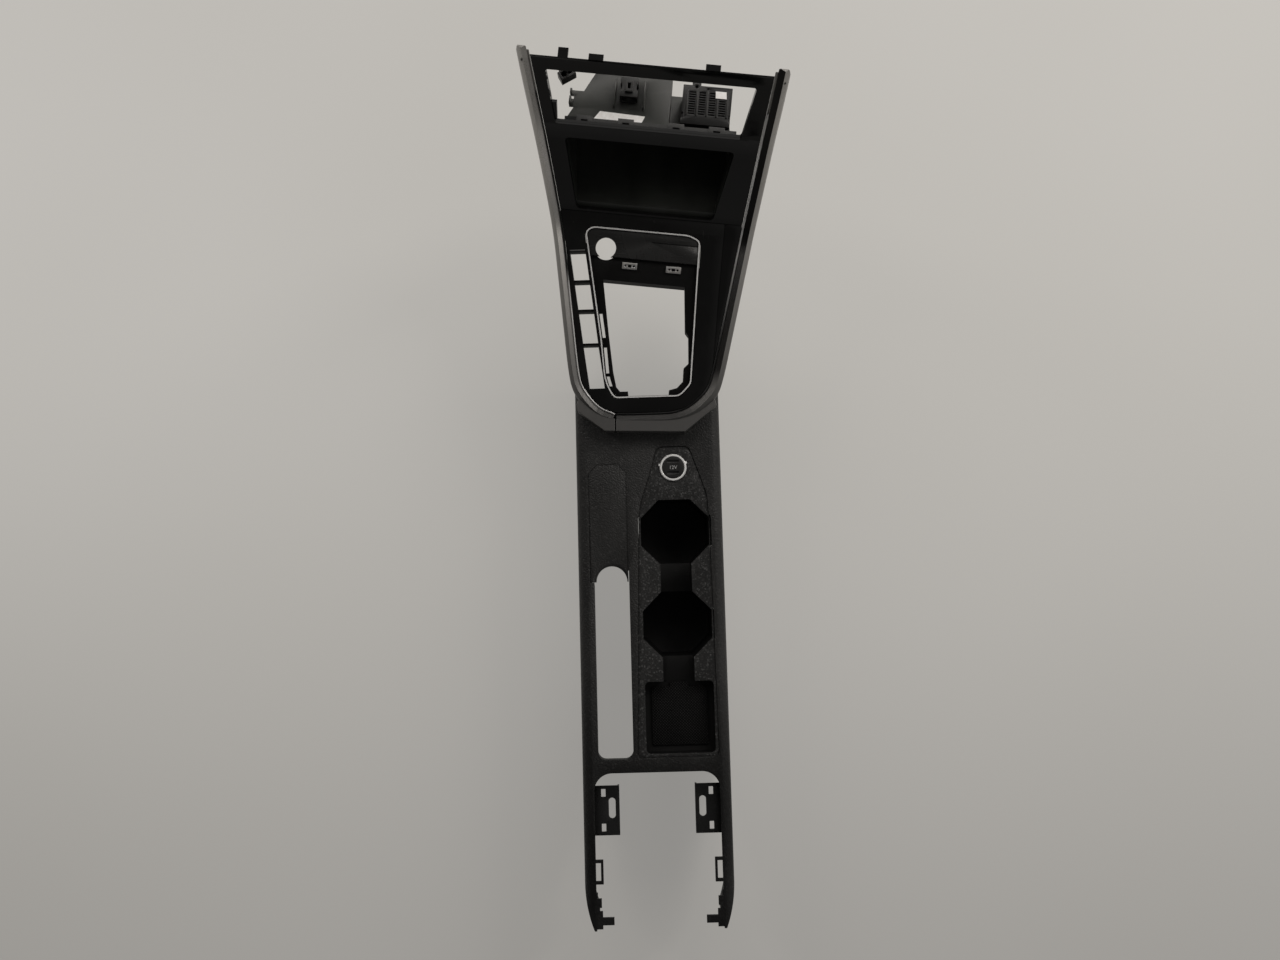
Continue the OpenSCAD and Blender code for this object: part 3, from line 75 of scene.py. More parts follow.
def seen_at(pixel, height):
    """The place at that height that the photograph shows at a pixel, to a tenth of a millimetre."""
    across = (pixel[0] - PHOTO_SIZE[0] / 2) / FOCAL_PIXELS
    up = (PHOTO_SIZE[1] / 2 - pixel[1]) / FOCAL_PIXELS
    ray = CAMERA_TURN @ Vector((across, up, -1.0))
    place = CAMERA_PLACE + ray * ((height - CAMERA_PLACE.z) / ray.z)
    return round(place.x, 4), round(place.y, 4)


make_camera()

# The turned frame of the front stack: its turn, its origin, and how far ahead and up its top edge lies
CANT = math.radians(7.0)
STACK = (-0.038498, 0.086913)
TOP_EDGE = (0.318924, 0.333309)


def stacked(w, v):
    """A place given as sideways and ahead in the stack's turned frame, in the part's frame."""
    return Vector((STACK[0] + w * math.cos(CANT) + v * math.sin(CANT),
                   STACK[1] - w * math.sin(CANT) + v * math.cos(CANT)))


def stacked_box(w0, w1, v0, v1):
    """The corners of a rectangle that lies square in the stack's turned frame."""
    return [stacked(w0, v0), stacked(w1, v0), stacked(w1, v1), stacked(w0, v1)]


class Shader:
    """Builds one node material in few words."""

    def __init__(self, name):
        self.material = bpy.data.materials.new(name)
        self.material.use_nodes = True
        self.tree = self.material.node_tree
        self.tree.nodes.clear()
        self.out = self.tree.nodes.new("ShaderNodeOutputMaterial")
        self.surface = self.tree.nodes.new("ShaderNodeBsdfPrincipled")
        self.link(self.surface.outputs[0], self.out.inputs["Surface"])
        self.place = self.tree.nodes.new("ShaderNodeTexCoord").outputs["Object"]

    def link(self, a, b):
        """Joins an output to an input."""
        self.tree.links.new(a, b)

    def feed(self, socket, value):
        """Links another node's output, or sets a plain value."""
        if isinstance(value, bpy.types.NodeSocket):
            self.link(value, socket)
        else:
            socket.default_value = value

    def node(self, kind, **inputs):
        """A node of that kind with its inputs fed; a name's underscores stand for blanks."""
        made = self.tree.nodes.new("ShaderNode" + kind)
        for name, value in inputs.items():
            self.feed(made.inputs[name.replace("_", " ")], value)
        return made

    def math(self, operation, a, b, clamp=False):
        """Works out one value from two."""
        made = self.tree.nodes.new("ShaderNodeMath")
        made.operation = operation
        made.use_clamp = clamp
        self.feed(made.inputs[0], a)
        self.feed(made.inputs[1], b)
        return made.outputs[0]

    def add(self, a, b, clamp=False):
        return self.math("ADD", a, b, clamp)

    def times(self, a, b):
        return self.math("MULTIPLY", a, b)

    def fit(self, value, low, high, to_low=0.0, to_high=1.0, smooth=False):
        """Maps one range of values to another and stops at its ends."""
        made = self.tree.nodes.new("ShaderNodeMapRange")
        made.interpolation_type = "SMOOTHSTEP" if smooth else "LINEAR"
        self.feed(made.inputs["Value"], value)
        made.inputs["From Min"].default_value = low
        made.inputs["From Max"].default_value = high
        made.inputs["To Min"].default_value = to_low
        made.inputs["To Max"].default_value = to_high
        return made.outputs["Result"]

    def noise(self, scale, detail=3.0, rough=0.55, where=None):
        """Cloudy noise over the place, or over another vector."""
        made = self.node("TexNoise", Scale=scale, Detail=detail, Roughness=rough)
        self.link(where or self.place, made.inputs["Vector"])
        return made.outputs[0]

    def cells(self, scale, feature="F1", random=1.0, output="Distance", where=None):
        """Voronoi cells over the place, or over another vector."""
        made = self.tree.nodes.new("ShaderNodeTexVoronoi")
        made.feature = feature
        made.inputs["Scale"].default_value = scale
        made.inputs["Randomness"].default_value = random
        self.link(where or self.place, made.inputs["Vector"])
        return made.outputs[output]

    def stretch(self, scale, turn=(0.0, 0.0, 0.0)):
        """The place scaled and turned, for marks that run one way."""
        made = self.tree.nodes.new("ShaderNodeMapping")
        made.inputs["Scale"].default_value = scale
        made.inputs["Rotation"].default_value = turn
        self.link(self.place, made.inputs["Vector"])
        return made.outputs[0]

    def mix(self, share, a, b):
        """Colour a with that share of colour b."""
        made = self.tree.nodes.new("ShaderNodeMix")
        made.data_type = "RGBA"
        self.feed(made.inputs["Factor"], share)
        self.feed(made.inputs["A"], a)
        self.feed(made.inputs["B"], b)
        return made.outputs["Result"]

    def shade(self, colour, value):
        """A colour made darker or lighter."""
        return self.node("HueSaturation", Color=colour, Value=value).outputs[0]

    def axis(self, name, what=None):
        """One coordinate of the place, or of another vector."""
        made = self.tree.nodes.new("ShaderNodeSeparateXYZ")
        self.link(what or self.place, made.inputs[0])
        return made.outputs[name]

    def facing(self, output):
        """The way a face looks out: Normal is smooth over shallow edges, True Normal is the face's own."""
        return self.tree.nodes.new("ShaderNodeNewGeometry").outputs[output]

    def ahead(self):
        """Distance ahead in the stack's turned frame."""
        side = self.times(self.math("SUBTRACT", self.axis("X"), STACK[0]), math.sin(CANT))
        along = self.times(self.math("SUBTRACT", self.axis("Y"), STACK[1]), math.cos(CANT))
        return self.add(side, along)

    def bump(self, height, distance):
        """A normal that follows a height; the distance is the depth of a full step, in metres."""
        made = self.tree.nodes.new("ShaderNodeBump")
        made.inputs["Distance"].default_value = distance
        made.inputs["Strength"].default_value = 1.0
        self.link(height, made.inputs["Height"])
        return made.outputs[0]

    def set(self, **inputs):
        """Feeds the surface; a name's underscores stand for blanks."""
        for name, value in inputs.items():
            self.feed(self.surface.inputs[name.replace("_", " ")], value)


def grey(level, warm=0.0):
    """A grey, which may lean to red and away from blue."""
    return (level * (1 + warm), level, level * (1 - warm), 1.0)


def dusty(s, colour, amount, tone=0.12):
    """Dust and lint that lie on what faces up."""
    up = s.axis("Z", s.facing("Normal"))
    patches = s.fit(s.noise(14.0, 5.0, 0.65), 0.45, 0.75)
    specks = s.math("LESS_THAN", s.cells(420.0), 0.10)
    share = s.times(s.times(s.fit(up, 0.3, 0.9), patches), amount)
    lint = s.times(s.times(specks, s.fit(s.noise(60.0), 0.55, 0.7)), amount * 2.0)
    return s.mix(s.add(share, lint, clamp=True), colour, grey(tone, 0.03))


# Materials: where along Y the painted shade on the body's rear ends, and how far inside an edge the painted
# shade line of a gap fades in
BODY_SHADED_REAR = (-0.33, -0.16)
GAP_SHADE_START = 0.0012
GAP_SHADE_FULL = 0.0006


def grained_plastic(name, level, rough, cell, depth, glint, gap_shade=()):
    """Moulded plastic with a pebbled leather grain; cell is the grain's size; the listed edges get painted
    gap shade.
    """
    s = Shader(name)
    warm = 0.01
    grain = s.fit(s.cells(1.0 / cell, "SMOOTH_F1"), 0.1, 0.75)
    fine = s.noise(2.6 / cell, 3.0, 0.6)
    tone = s.fit(s.noise(9.0, 4.0), 0.3, 0.7, 0.88, 1.12)
    spark = s.math("POWER", s.axis("X", s.cells(0.8 / cell, output="Color")), 9.0)
    base = s.mix(s.times(spark, glint), grey(level, warm), grey(level * 4.5, warm))
    base = s.mix(s.fit(grain, 0.0, 1.0, 0.0, 0.35), base, grey(level * 0.45, warm))
    # Painted shade: the rear end and the legs are painted darker, and given less shine, as the light falls
    # off to the rear.
    painted_lighting = s.fit(s.axis("Y"), *BODY_SHADED_REAR, smooth=True)
    base = s.shade(base, s.times(tone, s.fit(painted_lighting, 0.0, 1.0, 0.5, 1.0)))
    # Painted shade: a dark line just inside each listed edge stands for the shade in the gap around the
    # panel.
    for across, along, reach in gap_shade:
        out = s.add(s.times(s.axis("X"), across), s.times(s.axis("Y"), along))
        base = s.mix(s.fit(out, reach - GAP_SHADE_START, reach - GAP_SHADE_FULL), base, grey(0.0008))
    worn = s.fit(s.noise(22.0), 0.3, 0.7, -0.04, 0.04)
    s.set(Base_Color=dusty(s, base, 0.05), Specular_IOR_Level=s.fit(painted_lighting, 0.0, 1.0, 0.14, 0.28))
    s.set(Roughness=s.add(s.fit(fine, 0.3, 0.7, rough - 0.06, rough + 0.07), worn))
    s.set(Normal=s.bump(s.math("SUBTRACT", s.times(fine, 0.3), grain), depth))
    return s.material


def smooth_plastic(name, level, rough, dust=0.03, shine=0.28):
    """Plain moulded plastic with faint flow lines and a fine spark-eroded texture."""
    s = Shader(name)
    fine = s.noise(2600.0, 2.0, 0.5)
    flow = s.noise(5.0, 5.0, 0.6, s.stretch((6.0, 1.0, 6.0), (0.0, 0.0, 0.4)))
    base = s.shade(grey(level, 0.01), s.fit(flow, 0.3, 0.7, 0.82, 1.18))
    scuffs = s.noise(90.0, 4.0, 0.7, s.stretch((1.0, 7.0, 3.0), (0.3, 0.2, 0.7)))
    dull = s.fit(scuffs, 0.55, 0.75, 0.0, 0.12)
    s.set(Base_Color=dusty(s, base, dust), Specular_IOR_Level=shine)
    s.set(Roughness=s.add(s.fit(flow, 0.3, 0.7, rough - 0.05, rough + 0.05), dull))
    s.set(Normal=s.bump(fine, 0.00005))
    return s.material


# Where the compartment's front flange turns black: heights, and places ahead in the stack's frame
BOX_FLANGE_Z = (0.2512, 0.2522)
BOX_FLANGE_END = (0.299, 0.3005)


def box_plastic(name):
    """Compartment moulding: smooth dark grey with long flow lines, its front flange near black."""
    s = Shader(name)
    flow = s.noise(7.0, 5.0, 0.6, s.stretch((5.0, 1.0, 5.0), (0.0, 0.0, 0.35)))
    streak = s.noise(26.0, 4.0, 0.6, s.stretch((1.0, 6.0, 2.0), (0.0, 0.0, -0.5)))
    flange = s.times(s.fit(s.axis("Z"), *BOX_FLANGE_Z), s.fit(s.ahead(), *BOX_FLANGE_END, 1.0, 0.0))
    body = s.shade((0.0165, 0.0175, 0.0155, 1.0), s.fit(flow, 0.3, 0.7, 0.75, 1.25))
    body = s.mix(s.times(s.fit(streak, 0.55, 0.75), 0.3), body, grey(0.04))
    s.set(Base_Color=dusty(s, s.mix(flange, body, grey(0.003)), 0.03), Specular_IOR_Level=0.3)
    s.set(Roughness=s.add(s.fit(flow, 0.3, 0.7, 0.28, 0.38), s.times(flange, 0.15)))
    s.set(Normal=s.bump(s.noise(1900.0, 2.0, 0.5), 0.00004))
    return s.material


def gloss_black(name):
    """Piano black: deep, with wiping marks, smudges and a little dust."""
    s = Shader(name)
    swirl = s.noise(30.0, 6.0, 0.7, s.stretch((1.0, 9.0, 2.0), (0.1, 0.0, 0.5)))
    smudge = s.fit(s.noise(11.0, 5.0, 0.6), 0.52, 0.72)
    strands = s.noise(260.0, 1.0, 0.4, s.stretch((1.0, 0.05, 1.0), (0.0, 0.0, 1.1)))
    hair = s.times(s.math("LESS_THAN", strands, 0.24), 0.12)
    s.set(Base_Color=dusty(s, s.mix(hair, grey(0.0035), grey(0.05)), 0.018, 0.2))
    s.set(Roughness=s.add(s.fit(swirl, 0.4, 0.75, 0.05, 0.11), s.times(smudge, 0.10)))
    s.set(Specular_IOR_Level=0.22, Normal=s.bump(s.noise(16.0, 1.0), 0.00012))
    return s.material


# Places along Y on the trims: where the paint grows rougher and painted shade darkens it, where the bow
# ends, where the black slope begins
TRIM_DULL_AND_SHADE = (0.10, 0.36)
BOW_END = (0.118, 0.130)
BLACK_START = (0.125, 0.150)


def satin_trim(name, black_inside):
    """Satin silver paint with fine metal flakes; the slope towards the panel may be gloss black."""
    s = Shader(name)
    flake = s.fit(s.axis("X", s.cells(2400.0, output="Color")), 0.0, 1.0, 0.85, 1.15)
    cloud = s.fit(s.noise(24.0, 3.0), 0.3, 0.7, 0.92, 1.08)
    silver = s.shade((0.255, 0.247, 0.235, 1.0), s.times(flake, cloud))
    scuff = s.noise(70.0, 5.0, 0.7, s.stretch((4.0, 0.6, 1.0)))
    # Towards the bow at the rear the paint is rougher and painted darker, as painted shade.
    dull = s.fit(s.axis("Y"), *TRIM_DULL_AND_SHADE, 1.0, 0.0)
    silver = s.mix(dull, dusty(s, silver, 0.03), grey(0.060, 0.02))
    rough = s.add(s.fit(flake, 0.85, 1.15, 0.27, 0.31), s.fit(scuff, 0.5, 0.75, 0.0, 0.12))
    rough = s.add(rough, s.times(dull, 0.22))
    # Painted shade: in the bow itself the slope that faces ahead is painted dark.
    facing = s.facing("True Normal")
    bow = s.times(s.fit(s.axis("Y"), *BOW_END, 1.0, 0.0), s.fit(s.axis("Y", facing), 0.2, 0.3))
    silver = s.mix(s.times(bow, 0.8), silver, grey(0.012, 0.02))
    if black_inside:
        # The inside is what faces the middle line.
        inward = s.fit(s.times(s.axis("X", facing), -1.0), 0.10, 0.16)
        inside = s.times(inward, s.fit(s.axis("Y"), *BLACK_START, smooth=True))
        silver = s.mix(inside, silver, grey(0.003, 0.12))
        rough = s.math("SUBTRACT", rough, s.times(inside, 0.12))
        s.set(Specular_IOR_Level=s.fit(inside, 0.0, 1.0, 0.4, 0.15))
        s.set(Metallic=s.fit(inside, 0.0, 1.0, 0.7, 0.0))
    else:
        s.set(Metallic=0.7)
    s.set(Base_Color=silver, Roughness=rough)
    s.set(Normal=s.bump(s.noise(1800.0, 2.0), 0.00003))
    return s.material


def chrome(s, light, less):
    """Sets a polish that is a little hazed and finely scratched, and gives back its clouded grey."""
    haze = s.noise(40.0, 5.0, 0.65)
    line = s.noise(900.0, 2.0, 0.5, s.stretch((1.0, 0.04, 1.0)))
    s.set(Roughness=s.add(s.fit(haze, 0.3, 0.7, 0.16, 0.26), s.fit(line, 0.5, 0.8, 0.0, 0.08)))
    s.set(Normal=s.bump(line, 0.00002))
    return s.mix(s.fit(haze, 0.4, 0.7), grey(light, 0.004), grey(less, 0.01))


def bright_metal(name):
    """Chromed all over."""
    s = Shader(name)
    s.set(Base_Color=chrome(s, 0.86, 0.74), Metallic=0.45)
    return s.material


def strip_metal(name, bright_y, dark_y):
    """Chromed strip with painted shade that darkens it towards one end, between two places along Y."""
    s = Shader(name)
    dark = s.fit(s.axis("Y"), bright_y, dark_y, smooth=True)
    s.set(Base_Color=s.mix(dark, chrome(s, 0.80, 0.66), grey(0.02)), Metallic=0.5)
    return s.material


def ring_metal(name):
    """Chromed on the ring's narrow top; its sloped sides are painted dark, as painted shade."""
    s = Shader(name)
    top = s.fit(s.axis("Z", s.facing("True Normal")), 0.80, 0.88)
    s.set(Base_Color=s.mix(top, grey(0.012), chrome(s, 0.80, 0.62)))
    s.set(Metallic=s.fit(top, 0.0, 1.0, 0.0, 0.45))
    return s.material


def coated_steel(name):
    """Black dip-coated sheet steel with an orange peel and rubbed edges."""
    s = Shader(name)
    peel = s.noise(700.0, 2.0, 0.5)
    rubbed = s.fit(s.noise(130.0, 5.0, 0.75), 0.62, 0.72)
    s.set(Base_Color=s.mix(s.times(rubbed, 0.25), grey(0.008), grey(0.06, 0.05)), Metallic=0.15)
    s.set(Roughness=s.fit(peel, 0.3, 0.7, 0.26, 0.4))
    s.set(Normal=s.bump(peel, 0.00006))
    return s.material


def zinc(name):
    """Zinc plated spring steel with clouded passivation."""
    s = Shader(name)
    cloud = s.noise(160.0, 4.0, 0.6)
    s.set(Base_Color=s.mix(s.fit(cloud, 0.35, 0.65), grey(0.55, 0.01), grey(0.36, 0.05)), Metallic=1.0)
    s.set(Roughness=s.fit(cloud, 0.3, 0.7, 0.25, 0.42))
    s.set(Normal=s.bump(s.noise(1500.0), 0.00003))
    return s.material


DOT_PITCH = 0.0022


def dotted_rubber(name):
    """Black rubber with a close grid of round dots, turned by 45 degrees."""
    s = Shader(name)
    grid = s.stretch((1.0, 1.0, 0.0), (0.0, 0.0, math.radians(45)))
    dots = s.fit(s.cells(1.0 / DOT_PITCH, random=0.0, where=grid), 0.20, 0.42, 1.0, 0.0, smooth=True)
    base = s.mix(dots, grey(0.0022), grey(0.013))
    base = s.shade(base, s.fit(s.noise(25.0, 4.0), 0.3, 0.7, 0.8, 1.2))
    s.set(Base_Color=dusty(s, base, 0.02), Specular_IOR_Level=0.06)
    s.set(Roughness=s.fit(dots, 0.0, 1.0, 0.75, 0.5))
    s.set(Normal=s.bump(dots, 0.0007))
    return s.material


CUP_GRAIN = 0.0016


def cup_plastic(name, plate_z):
    """Cup holder moulding: coarse sparkling grain on its plate; the walls below are near black, dark plastic
    darkened further with painted shade of the wells.
    """
    s = Shader(name)
    top = s.fit(s.axis("Z"), plate_z - 0.0012, plate_z - 0.0004)
    grain = s.fit(s.cells(1.0 / CUP_GRAIN, "SMOOTH_F1"), 0.1, 0.75)
    spark = s.math("POWER", s.axis("X", s.cells(1.1 / CUP_GRAIN, output="Color")), 7.0)
    plate = s.mix(s.times(spark, 0.7), grey(0.019), grey(0.10))
    plate = s.mix(s.fit(grain, 0.0, 1.0, 0.0, 0.5), plate, grey(0.005))
    # The walls are dark plastic with painted shade of the deep wells on it.
    wall = s.mix(s.fit(s.noise(18.0, 4.0), 0.35, 0.65), grey(0.0026), grey(0.0042))
    fine = s.noise(2200.0, 2.0)
    s.set(Base_Color=dusty(s, s.mix(top, wall, plate), 0.02))
    s.set(Specular_IOR_Level=s.fit(top, 0.0, 1.0, 0.08, 0.16))
    s.set(Roughness=s.add(s.fit(top, 0.0, 1.0, 0.55, 0.36), s.fit(fine, 0.3, 0.7, -0.05, 0.05)))
    s.set(Normal=s.bump(s.math("SUBTRACT", s.times(fine, 0.15), s.times(grain, top)), 0.00022))
    return s.material


def paper(name):
    """White label paper, a little creased."""
    s = Shader(name)
    crease = s.noise(220.0, 4.0, 0.6)
    s.set(Base_Color=s.mix(s.fit(crease, 0.35, 0.65), grey(0.72, 0.01), grey(0.62, 0.03)), Roughness=0.55)
    s.set(Normal=s.bump(crease, 0.0001))
    return s.material


def print_grey(name):
    """Grey marking paint."""
    s = Shader(name)
    s.set(Base_Color=s.mix(s.fit(s.noise(900.0), 0.35, 0.65), grey(0.34), grey(0.24)), Roughness=0.5)
    return s.material


# The chamfers at the brake cover panel's front corners: their lengths along Y, and across at each side
COVER_CHAMFER = 0.010
COVER_CHAMFER_ACROSS = {-1: 0.010, 1: 0.009}


def cover_edges():
    """The cover panel's edges from above: direction across and along, and how far out each one lies."""
    low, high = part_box("brake_cover_panel")
    edges = [(1.0, 0.0, high.x), (0.0, 1.0, high.y), (-1.0, 0.0, -low.x)]
    for side, corner in ((-1, low.x), (1, high.x)):
        across = COVER_CHAMFER_ACROSS[side]
        length = math.hypot(across, COVER_CHAMFER)
        out = (side * COVER_CHAMFER / length, across / length)
        edges.append((*out, out[0] * (corner - side * across) + out[1] * high.y))
    return edges


BODY_GRAIN = {"level": 0.0120, "rough": 0.46, "cell": 0.0016, "depth": 0.00034, "glint": 0.30}
PLATE_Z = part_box("cup_holder")[1].z
LOOKS = {
    "body_plastic": grained_plastic("body_grain", **BODY_GRAIN),
    "cup_plastic": cup_plastic("cup_grain", PLATE_Z),
    "mat": dotted_rubber("mat_dots"),
    "black_plastic": smooth_plastic("black_moulding", 0.010, 0.40),
    "gloss_black": gloss_black("piano_black"),
    "bright_metal": bright_metal("chrome_haze"),
    "satin_trim": satin_trim("satin_silver", False),
    "box_plastic": box_plastic("box_and_flange"),
    "module_plastic": smooth_plastic("module_moulding", 0.006, 0.36),
    "black_steel": coated_steel("black_steel_coat"),
    "fastener_steel": zinc("zinc_plate"),
}
OWN_LOOKS = {
    "brake_cover_panel": grained_plastic("cover_grain", gap_shade=cover_edges(), **BODY_GRAIN),
    "right_trim": satin_trim("satin_silver_right", True),
    "compartment_clips": smooth_plastic("clip_moulding", 0.026, 0.42),
    "gear_ring": ring_metal("ring_chrome"),
    "selector_frame": smooth_plastic("selector_moulding", 0.0025, 0.5, dust=0.01, shine=0.08),
    "button_panel": smooth_plastic("panel_paint", 0.011, 0.26, dust=0.02),
    "left_strip": strip_metal("left_strip_chrome", 0.235, 0.262),
    "right_strip": strip_metal("right_strip_chrome", 0.36, 0.16),
}

# Rounding of the edges: by node, and what the other nodes get; the swept nodes have their form already
EDGE_RADIUS = {
    "console_body": 0.0006,
    "cup_holder": 0.0005,
    "brake_cover_panel": 0.0004,
    "climate_frame": 0.0005,
    "gear_surround": 0.0004,
    "storage_compartment": 0.0005,
    "button_panel": 0.0003,
    "tray_mat": 0.0004,
}
SMALL_RADIUS = 0.00025
SWEPT = ("left_trim", "right_trim", "left_strip", "right_strip", "gear_ring")
EDGE_ANGLE = math.radians(35)
SMOOTH_ANGLE = math.radians(32)
WELD_DISTANCE = 0.00001


def smooth_group():
    """Shades smooth across shallow edges and sharp across the rest."""
    group = bpy.data.node_groups.new("smooth_by_angle", "GeometryNodeTree")
    group.interface.new_socket("Geometry", in_out="INPUT", socket_type="NodeSocketGeometry")
    group.interface.new_socket("Geometry", in_out="OUTPUT", socket_type="NodeSocketGeometry")
    start = group.nodes.new("NodeGroupInput")
    end = group.nodes.new("NodeGroupOutput")
    angle = group.nodes.new("GeometryNodeInputMeshEdgeAngle")
    shallow = group.nodes.new("FunctionNodeCompare")
    shallow.operation = "LESS_THAN"
    shallow.inputs[1].default_value = SMOOTH_ANGLE
    faces = group.nodes.new("GeometryNodeSetShadeSmooth")
    faces.domain = "FACE"
    edges = group.nodes.new("GeometryNodeSetShadeSmooth")
    edges.domain = "EDGE"
    link = group.links.new
    link(start.outputs[0], faces.inputs["Geometry"])
    link(faces.outputs[0], edges.inputs["Geometry"])
    link(angle.outputs["Unsigned Angle"], shallow.inputs[0])
    link(shallow.outputs[0], edges.inputs["Shade Smooth"])
    link(edges.outputs[0], end.inputs[0])
    return group


def round_edges(obj, radius):
    """Eases every edge that is sharper than EDGE_ANGLE."""
    edge = obj.modifiers.new("edge", "BEVEL")
    edge.width = radius
    edge.segments = 2
    edge.limit_method = "ANGLE"
    edge.angle_limit = EDGE_ANGLE


def dress_nodes():
    """Gives each CAD node its material and small rounded edges."""
    slot_of = {row["node"]: row["material_slot"] for row in frame["record"]["subparts"]}
    group = smooth_group()
    for name, obj in NODES.items():
        for slot in obj.material_slots:
            slot.material = OWN_LOOKS.get(name, LOOKS[slot_of[name]])
        weld = obj.modifiers.new("weld", "WELD")
        weld.merge_threshold = WELD_DISTANCE
        if name not in SWEPT:
            round_edges(obj, EDGE_RADIUS.get(name, SMALL_RADIUS))
        smooth = obj.modifiers.new("smooth", "NODES")
        smooth.node_group = group
    # The frame's long gloss faces shade evenly only with normals that follow the large faces.
    even = NODES["climate_frame"].modifiers.new("even", "WEIGHTED_NORMAL")
    even.keep_sharp = True


# Small pieces
def prism(name, outline, low, high, material, bevel=0.0002, slot=None, body="console"):
    """An upright piece with that outline in plan, from one height to another, with eased edges."""
    count = len(outline)
    # Twice the area inside: above zero where the outline runs counterclockwise
    inside = sum(a[0] * b[1] - b[0] * a[1] for a, b in zip(outline, outline[1:] + outline[:1]))
    ring = outline if inside > 0 else outline[::-1]
    corners = [(q[0], q[1], z) for z in (low, high) for q in ring]
    sides = [(k, (k + 1) % count, count + (k + 1) % count, count + k) for k in range(count)]
    ends = [range(count)[::-1], range(count, 2 * count)]
    mesh = bpy.data.meshes.new(name)
    mesh.from_pydata(corners, [], ends + sides)
    obj = bpy.data.objects.new(name, mesh)
    scene.collection.objects.link(obj)
    mesh.materials.append(material)
    if bevel:
        edge = obj.modifiers.new("edge", "BEVEL")
        edge.width = bevel
        edge.segments = 2
        edge.limit_method = "ANGLE"
    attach(obj, body)
    return obj


# The cut through the climate frame's top flange: two stretches sideways, with the cable clip's stub between
# them, where it starts and ends ahead of the top edge, and how far it reaches below and above that edge
CUT_SPANS = ((-0.130, -0.0913), (-0.0817, 0.130))
CUT_START = 0.0004
CUT_END = 0.014
CUT_BELOW = 0.0045
CUT_ABOVE = 0.00002


def trim_flange():
    """The photograph shows no flange ahead of the top edge: only the stub of the cable clip stays."""
    ahead, top = TOP_EDGE
    modifiers = NODES["climate_frame"].modifiers
    black = LOOKS["black_plastic"]
    for k, (w0, w1) in enumerate(CUT_SPANS):
        outline = stacked_box(w0, w1, ahead + CUT_START, ahead + CUT_END)
        cutter = prism("cutter_%d" % k, outline, top - CUT_BELOW, top + CUT_ABOVE, black, 0.0)
        cutter.hide_render = True
        cutter.hide_viewport = True
        cut = modifiers.new("cut_%d" % k, "BOOLEAN")
        cut.operation = "DIFFERENCE"
        cut.object = cutter
        cut.solver = "EXACT"
        modifiers.move(len(modifiers) - 1, k)


# Each label: its corners as pixels of the photograph, the height they were read at, its underside and top
BOX_LABEL = ((600, 111), (593, 119), (641, 124), (645, 116.5))
BOX_LABEL_READ = 0.2510
BOX_LABEL_Z = (0.25062, 0.25082)
MODULE_LABEL = ((716, 90), (716, 97), (727, 98), (727, 91))
MODULE_LABEL_READ = 0.2620
MODULE_LABEL_Z = (0.25900, 0.25918)


def add_labels():
    """Bare paper labels: their print is left out."""
    label = paper("label_paper")
    prism("box_label", [seen_at(q, BOX_LABEL_READ) for q in BOX_LABEL], *BOX_LABEL_Z, label, 0.0)
    prism("module_label", [seen_at(q, MODULE_LABEL_READ) for q in MODULE_LABEL], *MODULE_LABEL_Z, label, 0.0)


# The module's board: the housing's corner in the stack's frame, the board's underside and thickness, and
# its edges sideways and ahead from that corner
MODULE_CORNER = (0.0285, 0.3017)
BOARD_Z = 0.2440
BOARD_THICK = 0.0016
BOARD_WIDE = (0.0019, 0.0481)
BOARD_LONG = (0.0019, 0.0391)
# The chips in millimetres from the same corner: sideways, ahead, length sideways and length ahead
CHIPS = (
    (4, 5, 12, 9),
    (20, 4, 9, 14),
    (33, 6, 11, 8),
    (5, 19, 8, 15),
    (17, 22, 16, 6),
    (36, 19, 8, 12),
    (18, 31, 13, 5),
)


def add_module_board():
    """Circuit board across the module's housing, seen dimly through the slots."""
    w, v = MODULE_CORNER
    board = smooth_plastic("board_lacquer", 0.004, 0.4)
    outline = stacked_box(w + BOARD_WIDE[0], w + BOARD_WIDE[1], v + BOARD_LONG[0], v + BOARD_LONG[1])
    top = BOARD_Z + BOARD_THICK
    prism("module_board", outline, BOARD_Z, top, board, slot="module_plastic")
    for k, (a, b, wide, long) in enumerate(CHIPS):
        outline = stacked_box(w + a / 1000, w + (a + wide) / 1000, v + b / 1000, v + (b + long) / 1000)
        height = 0.001 * (2 + k % 3)
        prism("module_chip_%d" % k, outline, top, top + height, board, 0.0003, "module_plastic")


# The bow's plates: corners as pixels of the photograph, and heights from just above the body to the trims
BOW_PLATES = {
    "bow_left": ((576.4, 405), (577.6, 411.5), (604.8, 430.9), (614.9, 431),
                 (614.9, 418.5), (604.8, 415), (586, 398), (579, 398)),
    "bow_right": ((615.9, 431), (685.2, 431.5), (717, 405), (714, 396),
                  (709, 396), (687.8, 413), (675, 417), (615.9, 418.5)),
}
BOW_LOW = 0.14005
BOW_TOP = 0.1560


def add_bow():
    """The bow is a broad flat band in the photograph: two plates with a seam widen it at the rear."""
    for name, corners in BOW_PLATES.items():
        outline = [seen_at(q, BOW_TOP) for q in corners]
        prism(name, outline, BOW_LOW, BOW_TOP, LOOKS["satin_trim"], 0.0006)


MARK_SIZE = 0.0056
MARK_THICK = 0.0001
MARK_LIFT = 0.00008


